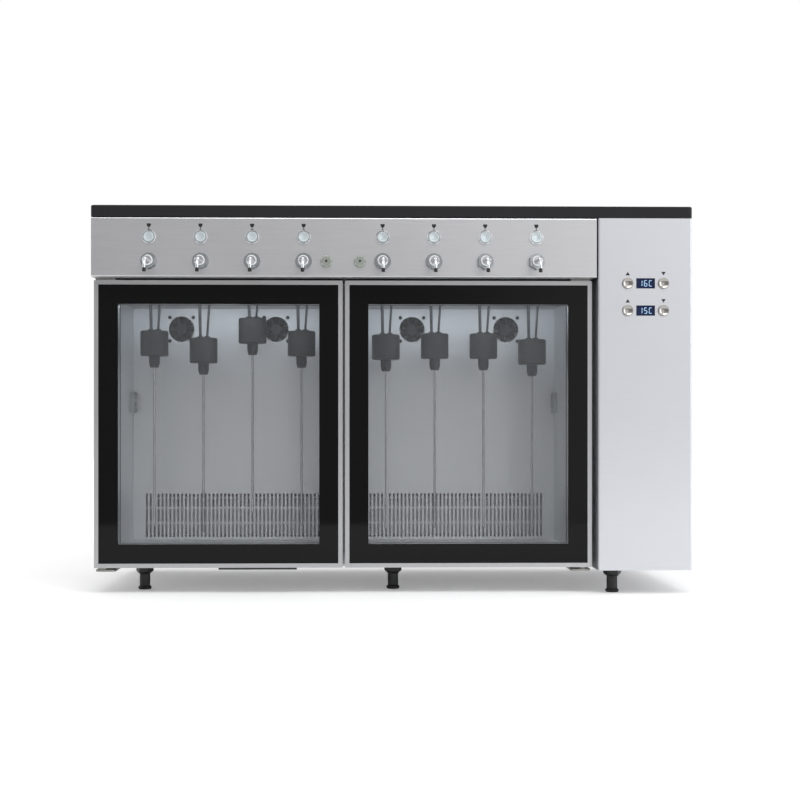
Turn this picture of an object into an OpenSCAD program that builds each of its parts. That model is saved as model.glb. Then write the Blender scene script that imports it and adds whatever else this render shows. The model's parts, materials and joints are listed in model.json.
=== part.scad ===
// Countertop wine dispenser: two cooled bays for four bottles each, a tap over every bottle,
// and a machine column with the temperature controls. Millimetres, +Z up, front towards -Y.
// The origin is on the floor, under the centre of the overall box.

/* [Case] */
// Thickness of the stainless outer sheets
sheet_t = 1.5; // [1:0.1:2]
// Outside bend radius of the folded sheets
bend_r = 2.5; // [2.2:0.1:4]
// Thickness of the top slab
slab_t = 19; // [12:1:30]
// How far the top slab stands out past the case
slab_lip = 1; // [0.5:0.5:5]
// Corner radius of the top slab
slab_r = 7; // [3:1:15]
// Chamfer along the edges of the top slab
slab_chamfer = 1.2; // [0.5:0.1:3]
// Height of the tap panel
tap_panel_h = 96; // [90:1:120]
// Width of the machine column
column_w = 152; // [145:1:190]
// Depth of the column's folded return beside the cabinet
column_return = 140; // [110:1:180]
// Gap between the tap panel and the column
panel_gap = 2.5; // [1:0.5:5]
// Width of the folded flanges that carry the top slab
flange_w = 18; // [12:1:30]

/* [Cabinet] */
// Clear depth of a bottle bay, in front of its air cover
bay_d = 185; // [170:1:230]
// Depth of the air duct behind the air cover
duct_d = 112; // [105:1:130]
// Thickness of the rear wall's insulation
rear_wall_t = 25; // [20:1:40]
// How far a door overlaps the case at its hinge side, top and bottom
door_land = 26; // [24:1:34]
// How far a door overlaps the partition at its free side
free_land = 13; // [12:1:24]
// Insulation over the ceiling of the bays
ceiling_t = 27; // [22:1:29]
// Thickness of the pressed liner
liner_t = 1; // [0.6:0.1:1.5]

/* [Doors] */
// Width of one door
door_w = 403; // [380:1:420]
// Height of a door
door_h = 467; // [440:1:500]
// Thickness of a door without its gasket
door_t = 38; // [34:1:44]
// Gap between the two doors
door_gap = 4; // [3:0.5:8]
// Gap above and below a door
door_clear = 3; // [2.6:0.1:5]
// Gap between the right door and the column
column_gap = 6; // [5:0.5:10]
// How far the doors lie behind the tap panel's face
door_setback = 25; // [15:1:35]
// Steel lip that frames the glass
frame_lip = 7; // [5:0.5:10]
// Width of the black border printed on the glass
border_w = 31; // [28:1:40]
// Thickness of the printed border ring
border_t = 1; // [0.6:0.1:1.5]
// Thickness of each pane
glass_t = 4; // [3:0.5:6]
// How far behind the door's face the inner pane starts
inner_pane_d = 22; // [18:1:24]
// Distance of the inner pane's edge from the door's edge
pane_inset = 29; // [28:1:33]
// Thickness of the bead that holds the inner pane
bead_t = 4; // [2:0.5:5]
// Distance of the hinge axis from the door's outer edge
pivot_inset = 14; // [12:1:16]
// Distance of the hinge axis behind the door's face
pivot_d = 10; // [9:1:12]
// Radius of the hinge pins
hinge_pin_r = 3; // [2.5:0.5:4]
// Length of a hinge pin inside the door
hinge_pin_l = 14; // [10:1:20]
// Radial play of the hinge pins, button stems and fan shafts
running_clear = 0.05; // [0.02:0.01:0.09]
// Width of a hinge bracket
bracket_w = 32; // [26:1:40]
// Thickness of the lower hinge bracket
bracket_t = 3; // [2:0.5:4]
// Depth of the door gasket
gasket_t = 12; // [8:1:16]
// Width of the door gasket
gasket_w = 9; // [7:1:10]
// Length of the finger lip under the left door
finger_lip_w = 126; // [80:1:180]

/* [Taps] */
// Distance between neighbouring taps
tap_pitch = 82.7; // [78:0.1:84]
// Distance of the innermost taps from the taps' middle line
tap_first = 63.5; // [60:0.5:66]
// Offset of the taps' middle line from the gap between the doors
tap_shift = -1; // [-4:0.5:4]
// Height of the spouts above the tap panel's lower edge
spout_z = 25; // [22:0.5:30]
// Height of the push-buttons above the tap panel's lower edge
button_z = 64; // [58:0.5:70]
// Radius of a spout's wall flange
spout_flange_r = 13.5; // [12:0.5:15]
// Width across the flats of a spout's hexagon
spout_hex = 22; // [19:0.5:23]
// Radius of a spout tube
spout_tube_r = 2.5; // [2:0.1:3.5]
// Radius of the sleeve on a spout's mouth
spout_tip_r = 2.9; // [2.6:0.1:4]
// Radius of the bore of a spout
spout_bore_r = 1.6; // [1:0.1:1.8]
// How far a spout reaches out of the tap panel
spout_reach = 54; // [46:1:65]
// Bend radius of a spout tube
spout_bend_r = 14; // [9:0.5:16]
// Drop of a spout's mouth below its axis
spout_drop = 22; // [18:0.5:23]
// Radius of a push-button's bezel
bezel_r = 11.2; // [10:0.1:13]
// Radius of a push-button's cap
button_r = 8.2; // [7:0.1:8.4]
// Travel of a push-button
button_travel = 2.5; // [1:0.5:3]
// Distance of the two service ports from the taps' middle line
port_offset = 27; // [22:0.5:32]
// Width across the flats of a service port
port_hex = 16.5; // [14:0.5:19]
// Radius of a service port's bore
port_bore_r = 2.05; // [2:0.05:3.05]

/* [Bottle stoppers] */
// Distance between neighbouring stoppers
stopper_pitch = 84.5; // [78:0.5:85]
// Distance of the innermost stoppers from the taps' middle line
stopper_first = 72.9; // [65:0.1:74]
// Depth of the stoppers behind the front of the cabinet
stopper_d = 90; // [70:1:110]
// Radius of a stopper's cap
stopper_r = 24; // [20:0.5:27]
// Height of a stopper's cap
stopper_h = 43; // [35:1:50]
// Radius of the plug that seals a bottle's neck
plug_r = 9.25; // [9:0.05:9.8]
// Length of the plug's cylindrical part
plug_l = 12; // [8:1:16]
// Radius of the dip tube
dip_r = 2; // [1.5:0.1:3]
// Length of the dip tube
dip_l = 272; // [240:1:275]
// Radius of a wine tube
wine_tube_r = 2.6; // [2:0.1:3.5]
// Radius of a gas tube
gas_tube_r = 2; // [1.5:0.1:3]

/* [Fans] */
// Radius of a fan opening in the air covers
fan_r = 22.75; // [20:0.25:24]
// Distance of a fan's screws from the edges of its square frame
fan_screw_edge = 4; // [3.6:0.1:6]
// Distance between a fan's screws
fan_screw_pitch = 42; // [38:0.5:42.5]
// Depth of a fan's frame
fan_t = 14; // [12:1:20]
// Distance of the inner fans from the taps' middle line
fan_first = 122.2; // [100:0.1:130]
// Distance between the two fans of a bay
fan_pitch = 169.2; // [150:0.1:180]
// Distance of the fans' axes below the ceiling of the bay
fan_drop = 37; // [30:1:60]
// Number of blades on a fan
fan_blades = 7; // [5:1:9]
// Radius of the condenser fan
condenser_fan_r = 52; // [45:1:54]

/* [Air vents] */
// Distance between the vertical slots of the air covers
slot_pitch = 7; // [6:0.5:12]
// Width of a slot
slot_w = 3.6; // [2:0.2:4.5]
// Height of a slot
slot_h = 24; // [15:1:30]
// Height of the bridges between the rows of slots
slot_bridge = 3; // [2:0.5:6]
// Rows of slots
slot_rows = 3; // [1:1:4]

/* [Controls] */
// Depth of the upper display below the top slab
display_drop = 105; // [70:1:130]
// Distance between the two displays
display_pitch = 44; // [38:1:60]
// Width of a display's face
display_w = 29.8; // [26:0.2:32]
// Height of a display's face
display_h = 16; // [12:0.5:20]
// Distance of a set button from its display's centre
set_offset = 29; // [27:0.5:34]
// Radius of a set button
set_r = 8.7; // [7:0.1:9]
// Travel of a set button
set_travel = 1.5; // [0.5:0.1:1.8]

/* [Feet] */
// Height of the feet
foot_h = 39; // [30:1:60]
// Width across the flats of a foot's hexagonal collar
foot_hex = 25; // [20:1:30]
// Radius of a foot's shank
foot_shank_r = 8.8; // [6:0.1:10]
// Radius of a foot's pad
foot_pad_r = 11; // [9:0.5:16]
// Radius of a foot's screw
foot_screw_r = 5; // [4:0.5:6]
// How far a foot can be screwed out
foot_travel = 10; // [6:1:14]
// Length of a foot's screw that stays in the case
foot_screw_hold = 10; // [10:1:12]
// Distance of the left front foot from the side of the case
foot_inset = 72; // [60:1:110]
// Distance of the left rear foot from the side of the case
rear_foot_inset = 34; // [30:1:80]
// Depth of the front feet behind the front of the cabinet
foot_front_d = 20; // [18:1:40]
// Distance of the rear feet from the rear panel
foot_rear_d = 42; // [30:1:60]

/* [Services] */
// Radius of the gas inlet's bore, for an 8 mm hose
gas_bore_r = 4.05; // [3.05:0.05:5.05]
// How far the gas inlet stands out of the rear panel
rear_out = 14; // [10:1:20]
// Radius of the compressor's shell
compressor_r = 58; // [50:1:62]
// Height of the compressor's shell
compressor_h = 165; // [140:1:200]

/* [Hidden] */
$fn = 48;
eps = 0.01;
touch = 0.3;                      // gap left between a loose piece and its seat
seal_gap = 0.3;                   // gap between a closed door's gasket and the liner
bays = 2;
taps_per_bay = 4;

// Widths, from the left of the case to its right
case_w = bays * door_w + door_gap + column_gap + column_w;
x_left = -case_w / 2;
x_right = case_w / 2;
x_column = x_right - column_w;
x_mid = x_left + door_w + door_gap / 2;
x_tap = x_mid + tap_shift;
bay_w = door_w - door_land - free_land;

// Depths, measured back from the tap panel's face
cabinet_d = door_setback + door_t + gasket_t + seal_gap;
cover_d = cabinet_d + bay_d;
liner_back_d = cover_d + duct_d;
case_d = liner_back_d + liner_t + rear_wall_t + sheet_t;
rear_d = case_d - sheet_t;
y_front = -(case_d + rear_out - spout_reach) / 2;

// Heights above the floor
z_base = foot_h;
z_door = z_base + door_clear;
z_tap = z_door + door_h + door_clear;
z_slab = z_tap + tap_panel_h;
z_floor = z_door + door_land;
z_ceiling = z_door + door_h - door_land;
z_cabinet = z_ceiling + ceiling_t;
z_spout = z_tap + spout_z;
z_button = z_tap + button_z;

window_inset = frame_lip + border_w;
gasket_margin = 1;                // gasket's inner edge outside the bay's edge

// Where the stoppers hang below the ceiling, from left to right, as bottles of different height leave them
stopper_drops = [47, 59, 25, 47, 53, 51, 51, 61];
stopper_edge = 1.5;               // chamfer of a stopper's cap
plug_taper = 8;                   // height of the plug's tapered nose
plug_nose_r = 7.2;
boss_r = 5.2;                     // tube bosses on a stopper
boss_h = 3;
wine_x = -5.5;                    // a stopper's two tubes, to the left and right of its axis
gas_x = 6.5;
wine_splay = -1.5;                // how far a tube leans outwards on its way up
gas_splay = 9;
tube_hole = 0.4;                  // clearance of the ceiling's holes round the tubes

// Valves and gas manifold above the cabinet
valve_w = 24;
valve_l = 30;
valve_h = 38;
coil_r = 10.5;
coil_h = 20;
valve_notch = 4;                  // how much a valve block is narrower on one side
manifold_s = 18;
manifold_drop = 34;               // of the manifold's underside below the top slab
z_manifold = z_slab - manifold_drop;
nipple_r = 4;
nipple_h = 4;
gas_line_r = 4;
manifold_leg = 3;

// Push-buttons
bezel_h = 3;
bezel_bevel = 1;
bezel_rim = 1;                    // how far a bezel reaches past its barrel
barrel_r = bezel_r - bezel_rim;
barrel_l = 22;
barrel_clear = 0.2;
cap_proud = 4.6;
cap_t = 5;
cap_bevel = 0.8;
cap_dish = 0.7;                   // depth of a cap's hollow face
cap_groove_d = 0.9;
well_spare = 1.5;                 // depth left behind a pressed cap
well_d = button_travel + well_spare;     // depth of the well behind the panel's face
stem_r = 3;
stem_l = 15.6;
switch_s = 13;
switch_l = 12;
ring_nut_t = 4;
ring_nut_wall = 4;
nut_clear = 0.05;

// Spouts
spout_flange_t = 2.5;
spout_hex_l = 9;
collar_r = 8.5;
collar_l = 7;
collar_bevel = 2;
gland_r = 4.6;
gland_l = 5;
shank_r = 8;
shank_l = 28;
tail_r = 3;
tail_l = 10;
spout_tip_l = 6;
spout_tip_taper = 1;
mouth_d = spout_reach - spout_tip_r;  // from the panel's face to the mouth's axis
body_l = spout_flange_t + spout_hex_l + collar_l;

// Service ports
port_l = 8;
port_washer_r = 9.8;
port_washer_t = 1.2;
port_shank_r = 6.5;
port_shank_l = 16;
port_bore_l = 18;
port_chamfer = 0.6;

// Door details
pin_spare = 2;                    // depth left past the end of a hinge pin
bore_depth = hinge_pin_l + pin_spare;
bush_r = 6;
bracket_gap = 0.6;                // between a bracket and the door
upper_bracket_t = door_clear - bracket_gap;
bracket_tail = 26;                // length of the lower bracket under the base pan
bracket_nose = 2;                 // how far the lower bracket reaches in front of its pin
bracket_edge = 2;                 // distance of a bracket from the door's outer edge
upper_bracket_lead = 5;           // how far the upper bracket reaches in front of its pin
lip_drop = 2.4;
finger_lip_edge = 75;             // from the door's free edge
finger_lip_d = 14;
finger_lip_t = 1;
lip_t = 1.5;
gasket_lip = 4;
gasket_step = 2;
gasket_groove_d = 3;              // where the bellows' groove starts behind the door
gasket_groove_w = 2;
gasket_groove_in = 1.5;

// Controls
display_shift = 0.7;              // of the displays from the column's middle
x_display = x_column + column_w / 2 + display_shift;
display_wall = 1.6;
display_depth = 0.2;              // of a window behind the panel's face
display_flange_t = 2;
display_step = 1;                 // how far the housing steps in behind its flange
set_bevel_r = 1.6;
set_bevel_h = 1.2;
set_dish = 1.8;
z_displays = [for (i = [0 : 1]) z_slab - display_drop - i * display_pitch];
board_d = 12;
board_t = 1.6;
board_w = 118;
board_h = 104;
pillar_r = 3;
pillar_inset = 5;
display_clear = 0.3;
display_flange = 2;
display_face = 0.6;
set_clear = 0.3;
set_proud = 4;
set_flange_r = 10.2;
set_flange_t = 1.5;
set_stem_r = 2;
set_stem_end = 10;
sleeve_r = 4.5;
sleeve_gap = 0.8;                 // free space left behind a pressed set button
sleeve_d = sheet_t + touch + set_flange_t + set_travel + sleeve_gap;

// Feet: x and depth of each
front_foot_d = cabinet_d + foot_front_d;
rear_foot_d = case_d - foot_rear_d;
condenser_side = 20;              // the right rear foot stands this much further in
foot_places = [
    [x_left + foot_inset, front_foot_d],
    [x_mid + door_clear + 79, front_foot_d],
    [x_column + 30, 42],
    [x_left + rear_foot_inset, rear_foot_d],
    [x_right - rear_foot_inset - condenser_side, rear_foot_d]
];
foot_gap = 0.3;
foot_screw_l = foot_travel + foot_screw_hold;
foot_hex_h = 13;
foot_collar_taper = 5;             // height over which the collar narrows to the shank
foot_pad_h = 6;
foot_pad_edge = 2;
foot_sleeve_wall = 4;

// Fans
fan_side = fan_screw_pitch + 2 * fan_screw_edge;
fan_hub_r = 10;
hub_bevel = 1;
blade_root = 0.4;                 // how far a blade reaches into its hub
fan_cup_r = 10.6;
fan_cup_h = 4;
fan_shaft_r = 1.5;
fan_strut_w = 2.4;
fan_tip_clear = 1;
fan_hub_h = 7;
fan_chord = 12;
fan_blade_pitch = 38;
blade_t = 1.1;
screw_head_r = 3.2;
screw_head_h = 1.6;
screw_r = 1.6;
screw_l = 8;
screw_clear = 0.2;
screw_slot_l = 3.6;
screw_slot_w = 0.8;
screw_slot_d = 0.8;

// Condensing unit
condenser_w = 118;
condenser_t = 40;
condenser_h = 190;
condenser_rise = 32;
condenser_gap = 12;               // between the condenser and the rear panel
condenser_z = z_base + condenser_rise;
condenser_d = rear_d - condenser_t - condenser_gap;
x_condenser = x_column + column_w / 2;
shroud_t = 24;
shroud_wall = 1.5;
plate_t = 1.5;
fan_hub2_r = 17;
fan_gap2 = 2;
shaft2_r = 2.5;
fan_motor_l = 6;
fan_shaft_l = 10;
fan_hub2_h = 14;
fan_chord2 = 30;
fan_pitch2 = 30;
condenser_blades = 5;
condenser_fins = 14;
compressor_x = x_column + column_w / 2;
compressor_d = 165;
mount_h = 12;
mount_r = 8;
mount_pitch = 96;
mount_bolt_r = 3;
foot_plate_t = 3;
line_r = 4;
liquid_r = 2.5;
line_clear = 0.4;
line_rise = 34;                   // of the suction line over the condenser
line_pitch = 22;                  // between the suction line and the liquid line
line_gap = 16;                    // of both from the liner's back
line_z = condenser_z + condenser_h + line_rise;
liquid_z = line_z - line_pitch;
line_d = liner_back_d - line_gap;
branch_step = 1;                  // how much thinner the branches are than the suction line
liquid_branch_step = 0.7;
outlet_wall = 0.5;
suction_stub_wall = 2;
suction_stub_h = 8;
suction_seat = 2;                 // height of the suction line's end over the dome
line_lead = 20;                   // how far before a bay's end the lines' way starts
line_tail = 10;                   // how far it runs on into the column
line_stub = 6;                    // closed end of the lines past the first header
liquid_inset = 20;                // from the condenser's middle to the liquid line's outlet
line_bend = 22;

// Evaporators
evap_w = 300;
evap_t = 44;
evap_h = 190;
evap_rise = 55;
evap_gap = 28;                    // between an evaporator and the liner's back
evap_z = z_floor + evap_rise;
evap_d = liner_back_d - evap_gap - evap_t;
evap_fins = 24;
fin_t = 1;
evap_ear = 12;
header_w = 16;
coil_tube_r = 4.5;
cover_fold = 22;                  // depth of the folds at an air cover's sides
slot_margin = 20;                 // free edge beside the slots
slot_foot = 5;                    // free edge under the slots

// Lamp strips, probe covers and inlets
lamp_w = 14;
lamp_h = 8;
lamp_d = 9;
lamp_margin = 14;
probe_t = 7;
lamp_bevel = 2.4;
probe_w = 27;
probe_h = 36;
probe_z = 228;
probe_slots = 5;
probe_edge = 3;
probe_wall = 1.5;
probe_gap = 3;                    // from the air cover
power_w = 27.6;
power_h = 20;
power_flange_w = 50;
power_flange_h = 26;
power_flange_t = 3;
power_body_l = 24;
power_rise = 300;
power_z = z_base + power_rise;
contact_pitch = 7;
contact_w = 2;
contact_h = 4;
contact_lift = 2.5;               // of the middle contact
contact_cover = 4;
power_screw_pitch = 40;
power_screw_r = 1.7;
power_wall = 2.2;
power_depth = 17;
x_power = x_column + column_w / 2;
gas_hex = 17;
gas_shank_r = 7;
gas_shank_l = 22;
gas_bore_l = 20;
gas_collar_l = 4;
gas_nut_step = 2;                 // across flats, over the fitting's own hexagon
vent_slots = 13;
vent_w = 100;
vent_h = 5;
vent_pitch = 13;
vent_rise = 30;
vent_z = z_base + vent_rise;
side_slots = 11;
side_slot_w = 90;

// ---- Places ----

// Taps, stoppers and fans are counted from the left; both halves mirror at the taps' middle line
function mirrored_x(i, count, first, pitch) =
    i < count / 2
        ? x_tap - first - (count / 2 - 1 - i) * pitch
        : x_tap + first + (i - count / 2) * pitch;
taps = bays * taps_per_bay;
tap_xs = [for (i = [0 : taps - 1]) mirrored_x(i, taps, tap_first, tap_pitch)];
stopper_xs = [for (i = [0 : taps - 1]) mirrored_x(i, taps, stopper_first, stopper_pitch)];
fan_xs = [for (i = [0 : 3]) mirrored_x(i, 4, fan_first, fan_pitch)];
stopper_tops = [for (drop = stopper_drops) z_ceiling - drop];
stopper_y = cabinet_d + stopper_d;
z_fan = z_ceiling - fan_drop;

// A bay's left and right inner walls, and a door's left and right edges
function bay_x(side) = side == 0
    ? [x_left + door_land, x_left + door_land + bay_w]
    : [x_mid + door_gap / 2 + free_land, x_mid + door_gap / 2 + free_land + bay_w];
function door_x(side) = side == 0
    ? [x_left, x_left + door_w]
    : [x_mid + door_gap / 2, x_mid + door_gap / 2 + door_w];
function pivot_x(side) = side == 0
    ? door_x(0)[0] + pivot_inset
    : door_x(1)[1] - pivot_inset;

module at(x, d, z) translate([x, y_front + d, z]) children();

// ---- Shapes ----

// A box between two corners given as x, depth and height
module block(a, b) at(a.x, a.y, a.z) cube([b.x - a.x, b.y - a.y, b.z - a.z]);

// A round bar along the depth, from one depth to another
module bar_y(x, z, r, d0, d1) at(x, d0, z) rotate([-90, 0, 0]) cylinder(r = r, h = d1 - d0);

module hex_y(x, z, flats, d0, d1)
    at(x, d0, z) rotate([-90, 0, 0]) rotate([0, 0, 30])
        cylinder(r = flats / 2 / cos(30), h = d1 - d0, $fn = 6);

// A flat shape drawn in X and Z, made thick from one depth to another
module slab_xz(d0, d1)
    translate([0, y_front + d1, 0]) rotate([90, 0, 0]) linear_extrude(height = d1 - d0) children();

// A profile drawn in depth and height, run along X
module run_x(x0, x1)
    translate([x0, y_front, 0]) rotate([90, 0, 90]) linear_extrude(height = x1 - x0) children();

module rect(x0, y0, x1, y1) translate([x0, y0]) square([x1 - x0, y1 - y0]);

module rect_ring(outer, inner) difference() {
    rect(outer[0], outer[1], outer[2], outer[3]);
    rect(inner[0], inner[1], inner[2], inner[3]);
}

// Grows a rectangle [x0, y0, x1, y1] by a margin; a negative margin shrinks it
function grown(r, m) = [r[0] - m, r[1] - m, r[2] + m, r[3] + m];

// A quarter of a bent sheet: ring sector whose outer corner points to (-1, -1) before turning
module bend(turn) rotate(turn) intersection() {
    difference() {
        circle(r = bend_r);
        circle(r = bend_r - sheet_t);
    }
    translate([-bend_r, -bend_r]) square(bend_r);
}

// A straight tube between two points, cut off square to an axis (0, 1 or 2) at both ends
module leaning_tube(p, q, r, axis) {
    v = q - p;
    l = norm(v);
    wide = 200;
    low = [for (i = [0 : 2]) i == axis ? min(p[i], q[i]) : min(p[i], q[i]) - wide];
    high = [for (i = [0 : 2]) i == axis ? max(p[i], q[i]) : max(p[i], q[i]) + wide];
    intersection() {
        translate(p) rotate([0, acos(v.z / l), atan2(v.y, v.x)])
            translate([0, 0, -2 * r]) cylinder(r = r, h = l + 4 * r);
        translate(low) cube(high - low);
    }
}

// A quarter bend of a pipe in the XY plane, from (r, 0) to (0, r) round the origin
module elbow(bend, r) rotate_extrude(angle = 90) translate([bend, 0]) circle(r = r);

// ---- Case ----

module top_slab() color([0.20, 0.20, 0.22]) {
    lx = case_w / 2 + slab_lip - slab_r;
    d0 = slab_r - slab_lip;
    d1 = case_d + slab_lip - slab_r;
    hull() for (x = [-lx, lx], d = [d0, d1]) at(x, d, z_slab) {
        translate([0, 0, slab_chamfer])
            cylinder(r = slab_r, h = slab_t - 2 * slab_chamfer, $fn = 32);
        cylinder(r = slab_r - slab_chamfer, h = slab_t, $fn = 32);
    }
}

// The tap panel's section: face, soffit and top flange, joined by bends
module tap_section() {
    rect(bend_r, z_tap, cabinet_d, z_tap + sheet_t);
    rect(bend_r, z_slab - sheet_t, flange_w, z_slab);
    rect(0, z_tap + bend_r, sheet_t, z_slab - bend_r);
    translate([bend_r, z_tap + bend_r]) bend(0);
    translate([bend_r, z_slab - bend_r]) bend(-90);
}

module tap_cheek() {
    rect(bend_r, z_tap, cabinet_d, z_slab);
    rect(0, z_tap + bend_r, bend_r, z_slab - bend_r);
    for (z = [z_tap + bend_r, z_slab - bend_r]) translate([bend_r, z]) circle(r = bend_r);
}

module tap_panel() color([0.72, 0.72, 0.73]) difference() {
    union() {
        run_x(x_left, x_column - panel_gap) tap_section();
        run_x(x_left, x_left + sheet_t) tap_cheek();
        run_x(x_column - panel_gap - sheet_t, x_column - panel_gap) tap_cheek();
    }
    for (x = tap_xs) {
        bar_y(x, z_button, barrel_r + barrel_clear, -eps, sheet_t + eps);
        bar_y(x, z_spout, shank_r + barrel_clear, -eps, sheet_t + eps);
    }
    for (side = [-1, 1])
        bar_y(x_tap + side * port_offset, z_spout, port_shank_r + barrel_clear, -eps, sheet_t + eps);
}

// The column's plan: left return, face and right side, joined by bends
module column_plan() {
    rect(x_column + bend_r, 0, x_right - bend_r, sheet_t);
    rect(x_column, bend_r, x_column + sheet_t, column_return);
    rect(x_right - sheet_t, bend_r, x_right, case_d);
    translate([x_column + bend_r, bend_r]) bend(0);
    translate([x_right - bend_r, bend_r]) bend(90);
}

module control_column() color([0.78, 0.79, 0.81]) difference() {
    translate([0, y_front, z_base]) linear_extrude(height = z_slab - z_base) column_plan();
    for (z = z_displays) {
        block([x_display - display_w / 2 - display_clear, -eps, z - display_h / 2 - display_clear],
              [x_display + display_w / 2 + display_clear, sheet_t + eps,
               z + display_h / 2 + display_clear]);
        for (s = [-1, 1]) bar_y(x_display + s * set_offset, z, set_r + set_clear, -eps, sheet_t + eps);
    }
    for (i = [0 : side_slots - 1])
        block([x_right - sheet_t - eps, condenser_d - side_slot_w, vent_z + i * vent_pitch],
              [x_right + eps, condenser_d, vent_z + i * vent_pitch + vent_h]);
}

module left_side_panel() color([0.70, 0.70, 0.71]) {
    block([x_left, cabinet_d, z_base], [x_left + sheet_t, case_d, z_slab]);
    block([x_left + sheet_t, cabinet_d, z_slab - sheet_t], [x_left + flange_w, rear_d, z_slab]);
}

module rear_panel() color([0.66, 0.66, 0.67]) difference() {
    block([x_left + sheet_t, rear_d, z_base + sheet_t], [x_right - sheet_t, case_d, z_slab]);
    for (i = [0 : vent_slots - 1])
        block([x_condenser - vent_w / 2, rear_d - eps, vent_z + i * vent_pitch],
              [x_condenser + vent_w / 2, case_d + eps, vent_z + i * vent_pitch + vent_h]);
    bar_y(x_mid, z_manifold + manifold_s / 2, gas_shank_r + barrel_clear, rear_d - eps, case_d + eps);
    block([x_power - power_w / 2 - barrel_clear, rear_d - eps, power_z - power_h / 2 - barrel_clear],
          [x_power + power_w / 2 + barrel_clear, case_d + eps, power_z + power_h / 2 + barrel_clear]);
}

module base_pan() color([0.55, 0.55, 0.56]) difference() {
    union() {
        translate([0, y_front, z_base]) linear_extrude(height = sheet_t) difference() {
            rect(x_left + sheet_t, cabinet_d, x_right - sheet_t, rear_d);
            rect(x_column - eps, cabinet_d - eps, x_column + sheet_t, column_return);
        }
        block([x_column + sheet_t, bend_r, z_base],
              [x_right - sheet_t, cabinet_d + eps, z_base + sheet_t]);
        for (p = foot_places) at(p.x, p.y, z_base)
            cylinder(r = foot_screw_r + foot_sleeve_wall, h = foot_screw_l + foot_sleeve_wall);
    }
    for (p = foot_places) at(p.x, p.y, z_base - eps)
        cylinder(r = foot_screw_r + running_clear, h = foot_screw_l + foot_sleeve_wall + 2 * eps);
}

// ---- Insulated cabinet ----

// The space of one bay with a margin round it, from a given depth to the liner's back
module bay_space(side, margin, d0) {
    x = bay_x(side);
    block([x[0] - margin, d0, z_floor - margin],
          [x[1] + margin, liner_back_d + margin, z_ceiling + margin]);
}

// The tubes' ways through the ceiling
module tube_ways(clear) for (i = [0 : taps - 1]) {
    leaning_tube(tube_low(i, wine_x), wine_top(i), wine_tube_r + clear, 2);
    leaning_tube(tube_low(i, gas_x), gas_top(i), gas_tube_r + clear, 2);
}

module insulated_cabinet() color([0.88, 0.84, 0.70]) difference() {
    block([x_left + sheet_t, cabinet_d + liner_t, z_base + sheet_t], [x_column, rear_d, z_cabinet]);
    for (side = [0, 1]) bay_space(side, liner_t, cabinet_d + liner_t - eps);
    tube_ways(tube_hole);
    for (p = foot_places) if (p.x < x_column) at(p.x, p.y, z_base)
        cylinder(r = foot_screw_r + foot_sleeve_wall + touch,
                 h = foot_screw_l + foot_sleeve_wall + touch);
    line_ways();
}

module bay_liner() color([0.74, 0.75, 0.76]) difference() {
    union() {
        block([x_left + sheet_t, cabinet_d, z_base + sheet_t],
              [x_column, cabinet_d + liner_t, z_cabinet]);
        for (side = [0, 1]) bay_space(side, liner_t, cabinet_d);
    }
    for (side = [0, 1]) bay_space(side, 0, cabinet_d - eps);
    tube_ways(tube_hole);
    line_ways();
}

module air_covers() color([0.70, 0.71, 0.72]) for (side = [0, 1]) {
    x = bay_x(side);
    width = x[1] - x[0] - 2 * touch;
    columns = floor((width - 2 * slot_margin) / slot_pitch);
    difference() {
        union() {
            block([x[0] + touch, cover_d, z_floor + touch],
                  [x[1] - touch, cover_d + sheet_t, z_ceiling - touch]);
            for (e = [x[0] + touch, x[1] - touch - sheet_t])
                block([e, cover_d + sheet_t - eps, z_floor + touch],
                      [e + sheet_t, cover_d + cover_fold, z_ceiling - touch]);
        }
        for (k = [0 : columns - 1], row = [0 : slot_rows - 1]) {
            sx = (x[0] + x[1]) / 2 + (k - (columns - 1) / 2) * slot_pitch;
            sz = z_floor + slot_foot + row * (slot_h + slot_bridge);
            block([sx - slot_w / 2, cover_d - eps, sz],
                  [sx + slot_w / 2, cover_d + sheet_t + eps, sz + slot_h]);
        }
        for (k = [2 * side, 2 * side + 1]) {
            bar_y(fan_xs[k], z_fan, fan_r, cover_d - eps, cover_d + sheet_t + eps);
            for (a = [-1, 1], b = [-1, 1])
                bar_y(fan_xs[k] + a * fan_screw_pitch / 2, z_fan + b * fan_screw_pitch / 2,
                      screw_r + screw_clear, cover_d - eps, cover_d + sheet_t + eps);
        }
    }
}

// One finned coil, its ears on the liner's back wall
module finned_coil(x0, w, d0, t, z0, h, fins) {
    step = (w - fin_t) / (fins - 1);
    for (k = [0 : fins - 1]) block([x0 + k * step, d0, z0], [x0 + k * step + fin_t, d0 + t, z0 + h]);
    rows = 5;
    for (j = [0 : rows - 1], m = [0, 1])
        at(x0, d0 + t * (0.28 + 0.44 * m), z0 + h * (j + 0.5) / rows) rotate([0, 90, 0])
            cylinder(r = coil_tube_r, h = w);
}

module evaporators() color([0.80, 0.80, 0.78]) for (side = [0, 1]) {
    x = bay_x(side);
    x0 = (x[0] + x[1] - evap_w) / 2;
    finned_coil(x0, evap_w, evap_d, evap_t, evap_z, evap_h, evap_fins);
    for (e = [x0, x0 + evap_w - fin_t], z = [evap_z, evap_z + evap_h - evap_ear])
        block([e, evap_d + evap_t - eps, z], [e + fin_t, liner_back_d, z + evap_ear]);
    block([x0 + evap_w - 3 * header_w, evap_d + evap_t - fin_t, liquid_z - header_w],
          [x0 + evap_w - 2 * header_w, evap_d + evap_t + fin_t, line_z + header_w]);
}

// ---- Fans ----

// Places a fan part: local +Z points to the front, zero is the back of the air cover
module at_fan(k) at(fan_xs[k], cover_d + sheet_t, z_fan) rotate([90, 0, 0]) children();

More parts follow.
